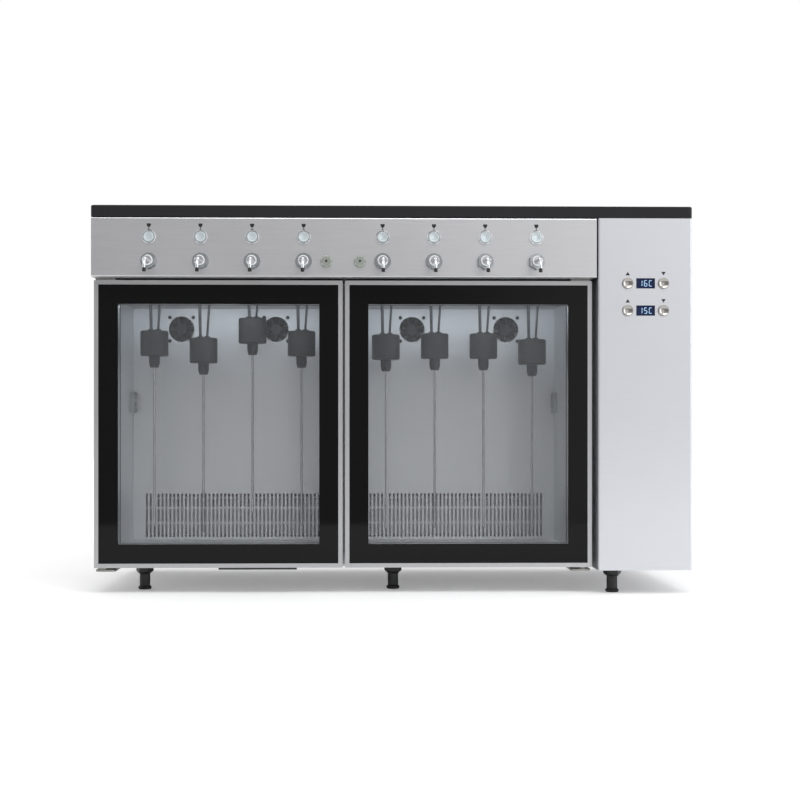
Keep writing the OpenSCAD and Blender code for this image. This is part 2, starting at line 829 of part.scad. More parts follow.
module fan_frames() color([0.10, 0.10, 0.11]) for (k = [0 : 3]) at_fan(k) {
    difference() {
        translate([-fan_side / 2, -fan_side / 2, -fan_t]) cube([fan_side, fan_side, fan_t]);
        translate([0, 0, -fan_t - eps]) cylinder(r = fan_r, h = fan_t + 2 * eps);
        for (a = [-1, 1], b = [-1, 1])
            translate([a, b, 0] * fan_screw_pitch / 2) translate([0, 0, -fan_t - eps])
                cylinder(r = screw_r + screw_clear, h = fan_t + 2 * eps);
    }
    translate([0, 0, -fan_t]) cylinder(r = fan_cup_r, h = fan_cup_h);
    for (q = [0 : 2]) rotate([0, 0, 30 + 120 * q])
        translate([0, -fan_strut_w / 2, -fan_t]) cube([fan_r + 0.5, fan_strut_w, 2.5]);
    translate([0, 0, -fan_t + fan_cup_h - eps]) cylinder(r = fan_shaft_r, h = fan_hub_h - hub_bevel);
}

// A cambered blade along +X, pitched round its own length and trimmed to a ring
module blade(r_in, r_out, chord, thick, pitch, depth) intersection() {
    translate([0, 0, -depth / 2]) difference() {
        cylinder(r = r_out, h = depth);
        translate([0, 0, -eps]) cylinder(r = r_in, h = depth + 2 * eps);
    }
    rotate([pitch, 0, 0]) rotate([90, 0, 90]) linear_extrude(height = r_out + 1) intersection() {
        translate([0, -chord]) difference() {
            circle(r = chord + thick / 2);
            circle(r = chord - thick / 2);
        }
        translate([-chord / 2, -chord / 2]) square(chord);
    }
}

module rotor(blades, hub_r, tip_r, hub_h, chord, pitch, bore_r, depth) difference() {
    union() {
        cylinder(r = hub_r, h = hub_h - hub_bevel);
        translate([0, 0, hub_h - hub_bevel - eps])
            cylinder(r1 = hub_r, r2 = hub_r - hub_bevel, h = hub_bevel + eps);
        for (b = [0 : blades - 1]) rotate([0, 0, 360 / blades * b])
            translate([0, 0, hub_h / 2]) blade(hub_r - blade_root, tip_r, chord, blade_t, pitch, depth);
    }
    translate([0, 0, -eps]) cylinder(r = bore_r, h = hub_h - hub_bevel);
}

module fan_rotor(k) color([0.13, 0.13, 0.14]) at_fan(k)
    translate([0, 0, -fan_t + fan_cup_h + touch])
        rotor(fan_blades, fan_hub_r, fan_r - fan_tip_clear, fan_hub_h, fan_chord, fan_blade_pitch,
              fan_shaft_r + running_clear, fan_hub_h);

module fan_screws() color([0.16, 0.16, 0.17]) for (k = [0 : 3], a = [-1, 1], b = [-1, 1])
    at_fan(k) translate([a * fan_screw_pitch / 2, b * fan_screw_pitch / 2, 0]) difference() {
        union() {
            translate([0, 0, sheet_t]) cylinder(r = screw_head_r, h = screw_head_h);
            translate([0, 0, sheet_t - screw_l]) cylinder(r = screw_r, h = screw_l + eps);
        }
        translate([0, 0, sheet_t + screw_head_h - screw_slot_d]) for (turn = [0, 1]) rotate(turn * 90)
            translate([-screw_slot_l / 2, -screw_slot_w / 2, 0])
                cube([screw_slot_l, screw_slot_w, 2 * screw_slot_d]);
    }

// ---- Inside the bays ----

module ceiling_lamps() color([0.95, 0.96, 0.98]) for (side = [0, 1]) {
    x = bay_x(side);
    run_x(x[0] + lamp_margin, x[1] - lamp_margin) difference() {
        rect(cabinet_d + lamp_d, z_ceiling - lamp_h, cabinet_d + lamp_d + lamp_w, z_ceiling);
        for (d = [0, lamp_w]) translate([cabinet_d + lamp_d + d, z_ceiling - lamp_h])
            rotate(45) square(lamp_bevel, center = true);
    }
}

// Slotted covers over the two temperature probes, on the outer wall of each bay
module probe_covers() color([0.62, 0.63, 0.64]) for (side = [0, 1]) {
    wall = side == 0 ? bay_x(0)[0] : bay_x(1)[1] - probe_t;
    d0 = cover_d - probe_gap - probe_w;
    z0 = z_floor + probe_z;
    step = probe_h / probe_slots;
    difference() {
        block([wall, d0, z0], [wall + probe_t, d0 + probe_w, z0 + probe_h]);
        for (k = [0 : probe_slots - 1])
            block([side == 0 ? wall + probe_wall : wall - eps, d0 + probe_edge, z0 + (k + 0.28) * step],
                  [side == 0 ? wall + probe_t + eps : wall + probe_t - probe_wall,
                   d0 + probe_w - probe_edge, z0 + (k + 0.72) * step]);
    }
}

module stoppers() color([0.09, 0.09, 0.10]) for (i = [0 : taps - 1])
    at(stopper_xs[i], stopper_y, stopper_tops[i] - stopper_h) {
        cylinder(r1 = stopper_r - stopper_edge, r2 = stopper_r, h = stopper_edge);
        translate([0, 0, stopper_edge - eps])
            cylinder(r = stopper_r, h = stopper_h - 2 * stopper_edge + 2 * eps);
        translate([0, 0, stopper_h - stopper_edge])
            cylinder(r1 = stopper_r, r2 = stopper_r - stopper_edge, h = stopper_edge);
        for (dx = [wine_x, gas_x]) translate([dx, 0, stopper_h - eps])
            cylinder(r = boss_r, h = boss_h + eps);
        translate([0, 0, -plug_l]) cylinder(r = plug_r, h = plug_l + eps);
        translate([0, 0, -plug_l - plug_taper])
            cylinder(r1 = plug_nose_r, r2 = plug_r, h = plug_taper + eps);
    }

module dip_tubes() color([0.75, 0.76, 0.78]) for (i = [0 : taps - 1])
    at(stopper_xs[i], stopper_y, stopper_tops[i] - stopper_h - plug_l - plug_taper - dip_l) difference() {
        cylinder(r = dip_r, h = dip_l);
        translate([0, 0, -eps]) cylinder(r = dip_r / 2, h = dip_l + 2 * eps);
    }

// Ends of a stopper's tubes: on its boss, at the valve's foot and at the manifold's nipple
function tube_low(i, dx) =
    [stopper_xs[i] + dx, y_front + stopper_y, stopper_tops[i] + boss_h];
function wine_top(i) = [stopper_xs[i] + wine_x + wine_splay, y_front + stopper_y, z_cabinet];
function gas_top(i) =
    [stopper_xs[i] + gas_x + gas_splay, y_front + stopper_y, z_manifold - nipple_h];

// The gas tube leans past the valve up to the manifold; the wine goes through the valve to the spout
module supply_tubes() color([0.25, 0.26, 0.28]) for (i = [0 : taps - 1]) {
    leaning_tube(tube_low(i, wine_x), wine_top(i), wine_tube_r, 2);
    leaning_tube(tube_low(i, gas_x), gas_top(i), gas_tube_r, 2);
    leaning_tube([tap_xs[i], y_front + shank_l + tail_l, z_spout],
                 [valve_x(i), y_front + stopper_y - valve_l / 2, z_spout], wine_tube_r, 1);
}

// ---- Taps ----

module ring_nut(x, z, bore_r, flats) difference() {
    hex_y(x, z, flats, sheet_t, sheet_t + ring_nut_t);
    bar_y(x, z, bore_r + nut_clear, sheet_t - eps, sheet_t + ring_nut_t + eps);
}

module spout_body(x) difference() {
    union() {
        bar_y(x, z_spout, spout_flange_r, -spout_flange_t, 0);
        hex_y(x, z_spout, spout_hex, -spout_flange_t - spout_hex_l, -spout_flange_t + eps);
        at(x, -body_l, z_spout) rotate([-90, 0, 0]) {
            cylinder(r1 = collar_r - collar_bevel, r2 = collar_r, h = collar_bevel);
            translate([0, 0, collar_bevel - eps])
                cylinder(r = collar_r, h = collar_l - collar_bevel + 2 * eps);
        }
        bar_y(x, z_spout, shank_r, -eps, shank_l);
        bar_y(x, z_spout, tail_r, shank_l - eps, shank_l + tail_l);
    }
    bar_y(x, z_spout, spout_bore_r, -body_l - eps, shank_l + tail_l + eps);
}

// The swan neck: out of the gland, round the bend and down to the mouth
module spout_tube(x, r) {
    run = mouth_d - spout_bend_r;
    bar_y(x, z_spout, r, -run, -body_l);
    at(x, -run, z_spout - spout_bend_r) rotate([0, -90, 0]) rotate([0, 0, -90]) elbow(spout_bend_r, r);
    at(x, -run - spout_bend_r, z_spout - spout_drop) cylinder(r = r, h = spout_drop - spout_bend_r);
}

module pour_spouts() color([0.82, 0.83, 0.85]) for (x = tap_xs) {
    spout_body(x);
    ring_nut(x, z_spout, shank_r, 2 * (shank_r + ring_nut_wall));
    difference() {
        union() {
            spout_tube(x, spout_tube_r);
            bar_y(x, z_spout, gland_r, -body_l - gland_l, -body_l);
            // Sleeve on the mouth
            at(x, -mouth_d, z_spout - spout_drop) {
                cylinder(r = spout_tip_r, h = spout_tip_l - spout_tip_taper);
                translate([0, 0, spout_tip_l - spout_tip_taper - eps])
                    cylinder(r1 = spout_tip_r, r2 = spout_tube_r, h = spout_tip_taper);
            }
        }
        spout_tube(x, spout_bore_r);
        bar_y(x, z_spout, spout_bore_r, -body_l - eps, -body_l + eps);
        at(x, -mouth_d, z_spout - spout_drop - eps)
            cylinder(r = spout_bore_r, h = 2 * eps);
    }
}

module button_bezels() color([0.80, 0.81, 0.83]) for (x = tap_xs) {
    difference() {
        union() {
            at(x, -bezel_h, z_button) rotate([-90, 0, 0]) {
                cylinder(r1 = bezel_r - bezel_bevel, r2 = bezel_r, h = bezel_bevel);
                translate([0, 0, bezel_bevel - eps])
                    cylinder(r = bezel_r, h = bezel_h - bezel_bevel + eps);
            }
            bar_y(x, z_button, barrel_r, -eps, barrel_l);
            block([x - switch_s / 2, barrel_l - eps, z_button - switch_s / 2],
                  [x + switch_s / 2, barrel_l + switch_l, z_button + switch_s / 2]);
        }
        bar_y(x, z_button, button_r + touch, -bezel_h - eps, well_d);
        bar_y(x, z_button, stem_r + running_clear, well_d - eps, barrel_l);
    }
    ring_nut(x, z_button, barrel_r, 2 * (barrel_r + ring_nut_wall));
}

module dispense_button(i) color([0.88, 0.89, 0.90]) {
    x = tap_xs[i - 1];
    dish = 30;
    difference() {
        union() {
            at(x, -cap_proud, z_button) rotate([-90, 0, 0]) {
                cylinder(r1 = button_r - cap_bevel, r2 = button_r, h = cap_bevel);
                translate([0, 0, cap_bevel - eps])
                    cylinder(r = button_r, h = cap_t - cap_bevel + eps);
            }
            bar_y(x, z_button, stem_r, cap_t - cap_proud - eps, stem_l + cap_t - cap_proud);
        }
        at(x, -cap_proud - dish + cap_dish, z_button) sphere(r = dish);
        at(x, -cap_proud - eps, z_button) rotate([-90, 0, 0]) difference() {
            cylinder(r = button_r * 0.62, h = cap_groove_d);
            translate([0, 0, -eps]) cylinder(r = button_r * 0.52, h = cap_groove_d + 2 * eps);
        }
    }
}

module service_ports() color([0.66, 0.68, 0.66]) for (s = [-1, 1]) {
    x = x_tap + s * port_offset;
    difference() {
        union() {
            bar_y(x, z_spout, port_washer_r, -port_washer_t, 0);
            intersection() {
                hex_y(x, z_spout, port_hex, -port_l, -port_washer_t + eps);
                at(x, -port_l, z_spout) rotate([-90, 0, 0])
                    cylinder(r1 = port_hex / 2 - port_chamfer, r2 = port_hex / 2 + port_l - port_chamfer,
                             h = port_l);
            }
            bar_y(x, z_spout, port_shank_r, -eps, port_shank_l);
        }
        bar_y(x, z_spout, port_bore_r, -port_l - eps, port_bore_l - port_l);
        bar_y(x, z_spout, port_bore_r / 2, 0, port_shank_l + eps);
    }
    ring_nut(x, z_spout, port_shank_r, 2 * (port_shank_r + ring_nut_wall));
}

function valve_x(i) = stopper_xs[i] + wine_x + wine_splay;

module wine_valves() color([0.30, 0.30, 0.33]) for (i = [0 : taps - 1]) {
    block([valve_x(i) - valve_w / 2, stopper_y - valve_l / 2, z_cabinet],
          [valve_x(i) + valve_w / 2 - valve_notch, stopper_y + valve_l / 2, z_cabinet + valve_h]);
    at(valve_x(i) - valve_notch / 2, stopper_y, z_cabinet + valve_h - eps) cylinder(r = coil_r, h = coil_h);
}

module gas_manifold() color([0.78, 0.70, 0.45]) {
    gas_xs = [for (i = [0 : taps - 1]) gas_top(i).x];
    x0 = gas_xs[0] - manifold_s;
    x1 = gas_xs[taps - 1] + manifold_s;
    block([x0, stopper_y - manifold_s / 2, z_manifold],
          [x1, stopper_y + manifold_s / 2, z_manifold + manifold_s]);
    for (x = gas_xs) at(x, stopper_y, z_manifold - nipple_h) cylinder(r = nipple_r, h = nipple_h + eps);
    // Legs down to the cabinet, between the valves
    for (x = [stopper_xs[0] + stopper_xs[1], 2 * x_tap, stopper_xs[taps - 2] + stopper_xs[taps - 1]] / 2)
        block([x, stopper_y - manifold_s / 2, z_cabinet],
              [x + manifold_leg, stopper_y + manifold_s / 2, z_manifold + eps]);
    bar_y(x_mid, z_manifold + manifold_s / 2, gas_line_r,
          stopper_y + manifold_s / 2 - eps, rear_d - gas_shank_l);
}

module gas_inlet() color([0.80, 0.80, 0.82]) {
    z = z_manifold + manifold_s / 2;
    difference() {
        union() {
            hex_y(x_mid, z, gas_hex, case_d, case_d + rear_out - gas_collar_l);
            bar_y(x_mid, z, gas_shank_r, case_d + rear_out - gas_collar_l - eps, case_d + rear_out);
            bar_y(x_mid, z, gas_shank_r, rear_d - gas_shank_l, case_d + eps);
        }
        bar_y(x_mid, z, gas_bore_r, case_d + rear_out - gas_bore_l, case_d + rear_out + eps);
        bar_y(x_mid, z, gas_bore_r / 2, rear_d - gas_shank_l - eps, case_d);
    }
    difference() {
        hex_y(x_mid, z, gas_hex + gas_nut_step, rear_d - ring_nut_t, rear_d);
        bar_y(x_mid, z, gas_shank_r + nut_clear, rear_d - ring_nut_t - eps, rear_d + eps);
    }
}

// ---- Controls ----

module displays() color([0.04, 0.05, 0.07]) for (z = z_displays) {
    difference() {
        block([x_display - display_w / 2, -display_face, z - display_h / 2],
              [x_display + display_w / 2, sheet_t + eps, z + display_h / 2]);
        block([x_display - display_w / 2 + display_wall, -display_face - eps,
               z - display_h / 2 + display_wall],
              [x_display + display_w / 2 - display_wall, display_depth, z + display_h / 2 - display_wall]);
    }
    block([x_display - display_w / 2 - display_flange, sheet_t, z - display_h / 2 - display_flange],
          [x_display + display_w / 2 + display_flange, sheet_t + display_flange_t,
           z + display_h / 2 + display_flange]);
    block([x_display - display_w / 2 + display_step, sheet_t + display_flange_t - eps,
           z - display_h / 2 + display_step],
          [x_display + display_w / 2 - display_step, board_d, z + display_h / 2 - display_step]);
}

module control_board() color([0.10, 0.35, 0.20]) {
    zc = (z_displays[0] + z_displays[1]) / 2;
    difference() {
        union() {
            block([x_display - board_w / 2, board_d, zc - board_h / 2],
                  [x_display + board_w / 2, board_d + board_t, zc + board_h / 2]);
            for (z = z_displays, s = [-1, 1])
                bar_y(x_display + s * set_offset, z, sleeve_r, sleeve_d, board_d + eps);
            for (a = [-1, 1], b = [-1, 1])
                bar_y(x_display + a * (board_w / 2 - pillar_inset), zc + b * (board_h / 2 - pillar_inset),
                      pillar_r, sheet_t, board_d + eps);
        }
        for (z = z_displays, s = [-1, 1])
            bar_y(x_display + s * set_offset, z, set_stem_r + running_clear,
                  sleeve_d - eps, board_d + board_t + eps);
    }
}

module set_button(row, side) color([0.85, 0.86, 0.88]) {
    x = x_display + side * set_offset;
    z = z_displays[row];
    dish = 16;
    difference() {
        union() {
            at(x, -set_proud, z) rotate([-90, 0, 0]) {
                cylinder(r1 = set_r - set_bevel_r, r2 = set_r, h = set_bevel_h);
                translate([0, 0, set_bevel_h - eps])
                    cylinder(r = set_r, h = set_proud + sheet_t - set_bevel_h + touch + 2 * eps);
            }
            bar_y(x, z, set_flange_r, sheet_t + touch, sheet_t + touch + set_flange_t);
            bar_y(x, z, set_stem_r, sheet_t + touch + set_flange_t - eps, set_stem_end);
        }
        at(x, -set_proud - dish + set_dish, z) sphere(r = dish);
    }
}

// ---- Condensing unit ----

module compressor() color([0.12, 0.12, 0.13]) {
    z0 = z_base + sheet_t;
    dome_h = compressor_r * 0.35;
    at(compressor_x, compressor_d, z0 + mount_h + foot_plate_t) {
        difference() {
            union() {
                translate([0, 0, -eps]) cylinder(r = compressor_r, h = compressor_h - dome_h);
                translate([0, 0, compressor_h - dome_h - eps])
                    cylinder(r1 = compressor_r, r2 = compressor_r * 0.55, h = dome_h + eps);
                cylinder(r = line_r + suction_stub_wall, h = compressor_h + suction_stub_h);
            }
            translate([0, 0, compressor_h + suction_seat])
                cylinder(r = line_r + line_clear, h = suction_stub_h);
        }
    }
    side = mount_pitch + 3 * mount_r;
    difference() {
        at(compressor_x, compressor_d, z0 + mount_h)
            translate([-side / 2, -side / 2, 0]) cube([side, side, foot_plate_t]);
        for (a = [-1, 1], b = [-1, 1])
            at(compressor_x + a * mount_pitch / 2, compressor_d + b * mount_pitch / 2, z0 + mount_h - eps)
                cylinder(r = mount_bolt_r, h = foot_plate_t + 2 * eps);
    }
    for (a = [-1, 1], b = [-1, 1])
        at(compressor_x + a * mount_pitch / 2, compressor_d + b * mount_pitch / 2, z0)
            cylinder(r = mount_r, h = mount_h);
}

module condenser() color([0.25, 0.25, 0.27]) {
    x0 = x_condenser - condenser_w / 2;
    zc = condenser_z + condenser_h / 2;
    finned_coil(x0, condenser_w, condenser_d, condenser_t, condenser_z, condenser_h, condenser_fins);
    // Side plates carry the coil and the shroud and stand on the base pan
    for (x = [x0 - plate_t, x0 + condenser_w])
        block([x, condenser_d - shroud_t, z_base + sheet_t],
              [x + plate_t + (x < x0 ? eps : 0), condenser_d + condenser_t, condenser_z + condenser_h]);
    difference() {
        block([x0 - eps, condenser_d - shroud_t, condenser_z],
              [x0 + condenser_w + eps, condenser_d, condenser_z + condenser_h]);
        block([x0 + shroud_wall, condenser_d - shroud_t + 2 * shroud_wall, condenser_z + shroud_wall],
              [x0 + condenser_w - shroud_wall, condenser_d + eps, condenser_z + condenser_h - shroud_wall]);
        bar_y(x_condenser, zc, condenser_fan_r + fan_gap2, condenser_d - shroud_t - eps, condenser_d);
    }
    // Motor on three struts in front of the coil, its shaft pointing to the front
    bar_y(x_condenser, zc, fan_hub2_r, condenser_d - fan_motor_l, condenser_d + eps);
    bar_y(x_condenser, zc, shaft2_r,
          condenser_d - fan_motor_l - fan_shaft_l, condenser_d - fan_motor_l + eps);
}

module condenser_fan() color([0.16, 0.16, 0.17])
    at(x_condenser, condenser_d - fan_motor_l - touch, condenser_z + condenser_h / 2) rotate([90, 0, 0])
        rotor(condenser_blades, fan_hub2_r, condenser_fan_r, fan_hub2_h, fan_chord2, fan_pitch2,
              shaft2_r + running_clear, fan_hub2_h);

// The ways of the refrigerant lines through the cabinet's walls
module line_ways() {
    x0 = bay_x(0)[1] - line_lead;
    l = x_column + line_tail - x0;
    at(x0, line_d, line_z) rotate([0, 90, 0]) cylinder(r = line_r + line_clear, h = l);
    at(x0, line_d, liquid_z) rotate([0, 90, 0]) cylinder(r = liquid_r + line_clear, h = l);
}

// A header's place on the back of each evaporator
function header_x(side) =
    (bay_x(side)[0] + bay_x(side)[1] + evap_w) / 2 - 2.5 * header_w;

module refrigerant_lines() color([0.72, 0.45, 0.30]) {
    stub_d = evap_d + evap_t + fin_t;
    x_end = header_x(0) - line_stub;
    z_top = z_base + sheet_t + mount_h + foot_plate_t + compressor_h + suction_seat;
    // Suction line: along the back, forwards in the column and down to the compressor
    at(x_end, line_d, line_z) rotate([0, 90, 0]) cylinder(r = line_r, h = compressor_x - line_bend - x_end);
    at(compressor_x - line_bend, line_d - line_bend, line_z) elbow(line_bend, line_r);
    bar_y(compressor_x, line_z, line_r, compressor_d + line_bend, line_d - line_bend);
    at(compressor_x, compressor_d + line_bend, line_z - line_bend)
        rotate([0, -90, 0]) rotate([0, 0, -90]) elbow(line_bend, line_r);
    at(compressor_x, compressor_d, z_top) cylinder(r = line_r, h = line_z - line_bend - z_top);
    for (side = [0, 1]) bar_y(header_x(side), line_z, line_r - branch_step, stub_d, line_d);
    // Liquid line, from the condenser's top to the same headers
    x_outlet = x_condenser - liquid_inset;
    at(x_end, line_d, liquid_z) rotate([0, 90, 0]) cylinder(r = liquid_r, h = x_outlet - x_end);
    at(x_outlet, line_d, condenser_z + condenser_h)
        cylinder(r = liquid_r + outlet_wall, h = liquid_z - condenser_z - condenser_h + liquid_r);
    for (side = [0, 1]) bar_y(header_x(side), liquid_z, liquid_r - liquid_branch_step, stub_d, line_d);
}

module power_inlet() color([0.08, 0.08, 0.09]) difference() {
    union() {
        block([x_power - power_flange_w / 2, case_d, power_z - power_flange_h / 2],
              [x_power + power_flange_w / 2, case_d + power_flange_t, power_z + power_flange_h / 2]);
        block([x_power - power_w / 2, case_d - power_body_l, power_z - power_h / 2],
              [x_power + power_w / 2, case_d + eps, power_z + power_h / 2]);
    }
    difference() {
        block([x_power - power_w / 2 + power_wall, case_d + power_flange_t - power_depth,
               power_z - power_h / 2 + power_wall],
              [x_power + power_w / 2 - power_wall, case_d + power_flange_t + eps,
               power_z + power_h / 2 - power_wall]);
        // Three flat contacts, the middle one set higher
        for (k = [-1, 0, 1]) {
            x = x_power + k * contact_pitch;
            z = power_z + (k == 0 ? contact_lift : 0);
            block([x - contact_w / 2, case_d - power_depth, z - contact_h / 2],
                  [x + contact_w / 2, case_d - contact_cover, z + contact_h / 2]);
        }
    }
    for (s = [-1, 1]) bar_y(x_power + s * power_screw_pitch / 2, power_z, power_screw_r,
                            case_d - eps, case_d + power_flange_t + eps);
}

// ---- Doors ----

function door_rect(side) = [door_x(side)[0], z_door, door_x(side)[1], z_door + door_h];
function bay_rect(side) = [bay_x(side)[0], z_floor, bay_x(side)[1], z_ceiling];

module rect_of(r) rect(r[0], r[1], r[2], r[3]);

module hinge_brackets() color([0.62, 0.61, 0.58]) for (side = [0, 1]) {
    edge = side == 0 ? door_x(0)[0] + bracket_edge : door_x(1)[1] - bracket_edge - bracket_w;
    px = pivot_x(side);
    pd = door_setback + pivot_d;
    round_r = 7;
    // Lower bracket, under the base pan, with a bush and a pin up into the door
    translate([0, y_front, z_base - bracket_t]) linear_extrude(height = bracket_t) {
        rect(edge, pd, edge + bracket_w, cabinet_d + bracket_tail);
        rect(edge + round_r, pd - round_r - bracket_nose, edge + bracket_w - round_r, pd + eps);
        for (x = [edge + round_r, edge + bracket_w - round_r])
            translate([x, pd - bracket_nose]) circle(r = round_r);
        rect(edge, pd - bracket_nose, edge + bracket_w, pd + eps);
    }
    at(px, pd, z_base - eps) cylinder(r = bush_r, h = door_clear - bracket_gap);
    at(px, pd, z_base) cylinder(r = hinge_pin_r, h = door_clear + hinge_pin_l);
    // Upper bracket, under the tap panel's soffit, with a pin down into the door
    at(0, 0, z_tap - upper_bracket_t) linear_extrude(height = upper_bracket_t)
        rect(edge, pd - upper_bracket_lead, edge + bracket_w, cabinet_d);
    at(px, pd, z_tap - upper_bracket_t + eps) mirror([0, 0, 1])
        cylinder(r = hinge_pin_r, h = bracket_gap + hinge_pin_l);
}

module door_frame(side) color([0.74, 0.75, 0.76]) {
    outer = door_rect(side);
    d0 = door_setback;
    difference() {
        slab_xz(d0, d0 + door_t) rect_of(outer);
        // Rebate for the outer pane and its printed border, the window, and the inner pane's seat
        slab_xz(d0 - eps, d0 + glass_t + border_t) rect_of(grown(outer, -frame_lip));
        slab_xz(d0, d0 + door_t + eps) rect_of(grown(outer, -window_inset));
        slab_xz(d0 + inner_pane_d, d0 + door_t + eps) rect_of(grown(outer, -pane_inset));
        for (z = [z_door - eps, z_door + door_h - bore_depth])
            at(pivot_x(side), d0 + pivot_d, z)
                cylinder(r = hinge_pin_r + running_clear, h = bore_depth + eps);
    }
    // Finger lip under the left door, bent down and forwards
    if (side == 0) {
        x1 = door_x(0)[1] - finger_lip_edge;
        block([x1 - finger_lip_w, d0, z_door - lip_drop], [x1, d0 + lip_t, z_door + eps]);
        block([x1 - finger_lip_w, d0, z_door - lip_drop],
              [x1, d0 + finger_lip_d, z_door - lip_drop + finger_lip_t]);
    }
}

module door_panes(side) color([0.80, 0.88, 0.90, 0.35]) {
    outer = door_rect(side);
    slab_xz(door_setback, door_setback + glass_t) rect_of(grown(outer, -frame_lip));
    slab_xz(door_setback + inner_pane_d, door_setback + inner_pane_d + glass_t)
        rect_of(grown(outer, -pane_inset));
}

// The black border printed behind the outer pane, and the bead that holds the inner pane
module door_border(side) color([0.05, 0.05, 0.06]) {
    outer = door_rect(side);
    d1 = door_setback + inner_pane_d + glass_t;
    slab_xz(door_setback + glass_t, door_setback + glass_t + border_t)
        rect_ring(grown(outer, -frame_lip), grown(outer, -window_inset));
    slab_xz(d1, d1 + bead_t) rect_ring(grown(outer, -pane_inset), grown(outer, -window_inset));
}

module door_gasket(side) color([0.20, 0.20, 0.21]) {
    inner = grown(bay_rect(side), gasket_margin);
    outer = grown(inner, gasket_w);
    d0 = door_setback + door_t;
    difference() {
        slab_xz(d0, d0 + gasket_t) rect_of(outer);
        slab_xz(d0 - eps, d0 + gasket_t + eps) rect_of(inner);
        // The bellows are narrower where they meet the liner
        slab_xz(d0 + gasket_t - gasket_lip, d0 + gasket_t + eps)
            rect_ring(grown(outer, eps), grown(outer, -gasket_step));
        slab_xz(d0 + gasket_groove_d, d0 + gasket_groove_d + gasket_groove_w)
            rect_ring(grown(outer, eps), grown(outer, -gasket_groove_in));
    }
}

// ---- Feet ----

module levelling_foot(k) color([0.07, 0.07, 0.08]) {
    p = foot_places[k - 1];
    top = foot_h - foot_gap;
    corner_r = foot_hex / 2 / cos(30);
    flare = (corner_r - foot_shank_r) / foot_collar_taper;
    at(p.x, p.y, 0) {
        // Pad with a rounded-off edge, then the shank
        cylinder(r1 = foot_pad_r - foot_pad_edge / 2, r2 = foot_pad_r, h = foot_pad_edge);
        translate([0, 0, foot_pad_edge - eps]) cylinder(r = foot_pad_r, h = foot_pad_edge + eps);
        translate([0, 0, 2 * foot_pad_edge - eps])
            cylinder(r1 = foot_pad_r, r2 = foot_shank_r, h = foot_pad_h - 2 * foot_pad_edge + eps);
        translate([0, 0, foot_pad_h - eps])
            cylinder(r = foot_shank_r, h = top - foot_hex_h - foot_pad_h + 2 * eps);
        // Hexagonal collar, turned to a cone at its lower end
        translate([0, 0, top - foot_hex_h]) intersection() {
            cylinder(r = corner_r, h = foot_hex_h, $fn = 6);
            cylinder(r1 = foot_shank_r, r2 = foot_shank_r + foot_hex_h * flare, h = foot_hex_h);
        }
        translate([0, 0, top - eps]) cylinder(r = foot_screw_r, h = foot_gap + sheet_t + foot_screw_l);
    }
}

// ---- The nodes ----

top_slab();
tap_panel();
control_column();
left_side_panel();
rear_panel();
base_pan();
insulated_cabinet();
bay_liner();
air_covers();
evaporators();
fan_frames();
fan_screws();
ceiling_lamps();
probe_covers();
stoppers();
dip_tubes();
supply_tubes();
pour_spouts();
button_bezels();
service_ports();
wine_valves();
gas_manifold();
displays();
control_board();
compressor();
condenser();
refrigerant_lines();
power_inlet();
gas_inlet();
hinge_brackets();
door_frame(0);  // door_frame_left
door_panes(0);  // door_panes_left
door_border(0);  // door_border_left
door_gasket(0);  // door_gasket_left
door_frame(1);  // door_frame_right
door_panes(1);  // door_panes_right
door_border(1);  // door_border_right
door_gasket(1);  // door_gasket_right
for (i = [1 : 8]) dispense_button(i);
set_button(0, -1);  // upper_up_button
set_button(0, 1);  // upper_down_button
set_button(1, -1);  // lower_up_button
set_button(1, 1);  // lower_down_button
for (i = [1 : 4]) fan_rotor(i - 1);
condenser_fan();
for (i = [1 : 5]) levelling_foot(i);
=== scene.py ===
# %% [markdown]
# # A countertop wine dispenser
# The machine is a steel box with two cooled bays behind glass doors, a row of taps above them and
# a machine column on the right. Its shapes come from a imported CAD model, which is loaded as a fixed
# frame. This script gives every part its finish, adds the small printed and screwed-on pieces, and
# sets up a pale studio. Everything is in metres: +Z is up and the front faces -Y.

# %% Load the frame
import math
import bmesh
import bpy
from mathutils import Matrix, Vector
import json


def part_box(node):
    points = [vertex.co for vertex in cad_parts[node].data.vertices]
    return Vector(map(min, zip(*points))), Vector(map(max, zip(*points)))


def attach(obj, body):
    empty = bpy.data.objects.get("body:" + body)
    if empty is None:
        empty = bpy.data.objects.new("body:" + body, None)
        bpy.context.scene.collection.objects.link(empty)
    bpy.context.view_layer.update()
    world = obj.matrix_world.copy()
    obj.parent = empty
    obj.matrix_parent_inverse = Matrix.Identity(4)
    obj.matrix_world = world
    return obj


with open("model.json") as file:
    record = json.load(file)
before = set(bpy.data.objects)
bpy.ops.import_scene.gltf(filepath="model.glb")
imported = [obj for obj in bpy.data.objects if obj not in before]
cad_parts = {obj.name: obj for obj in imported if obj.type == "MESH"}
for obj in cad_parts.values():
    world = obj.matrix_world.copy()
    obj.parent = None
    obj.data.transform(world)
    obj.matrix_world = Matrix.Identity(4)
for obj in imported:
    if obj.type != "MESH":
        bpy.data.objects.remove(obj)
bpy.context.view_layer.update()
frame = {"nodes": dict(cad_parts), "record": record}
nodes = frame["nodes"]
slot_of = {part["node"]: part["material_slot"] for part in frame["record"]["subparts"]}

# %% [markdown]
# ## The camera
# The photograph looks straight at the doors from a little over two metres, at about half their
# height, and slightly from the left. A camera that is kept level keeps the uprights parallel. The
# lens shift then moves the machine to its place in the frame, as a view camera does.

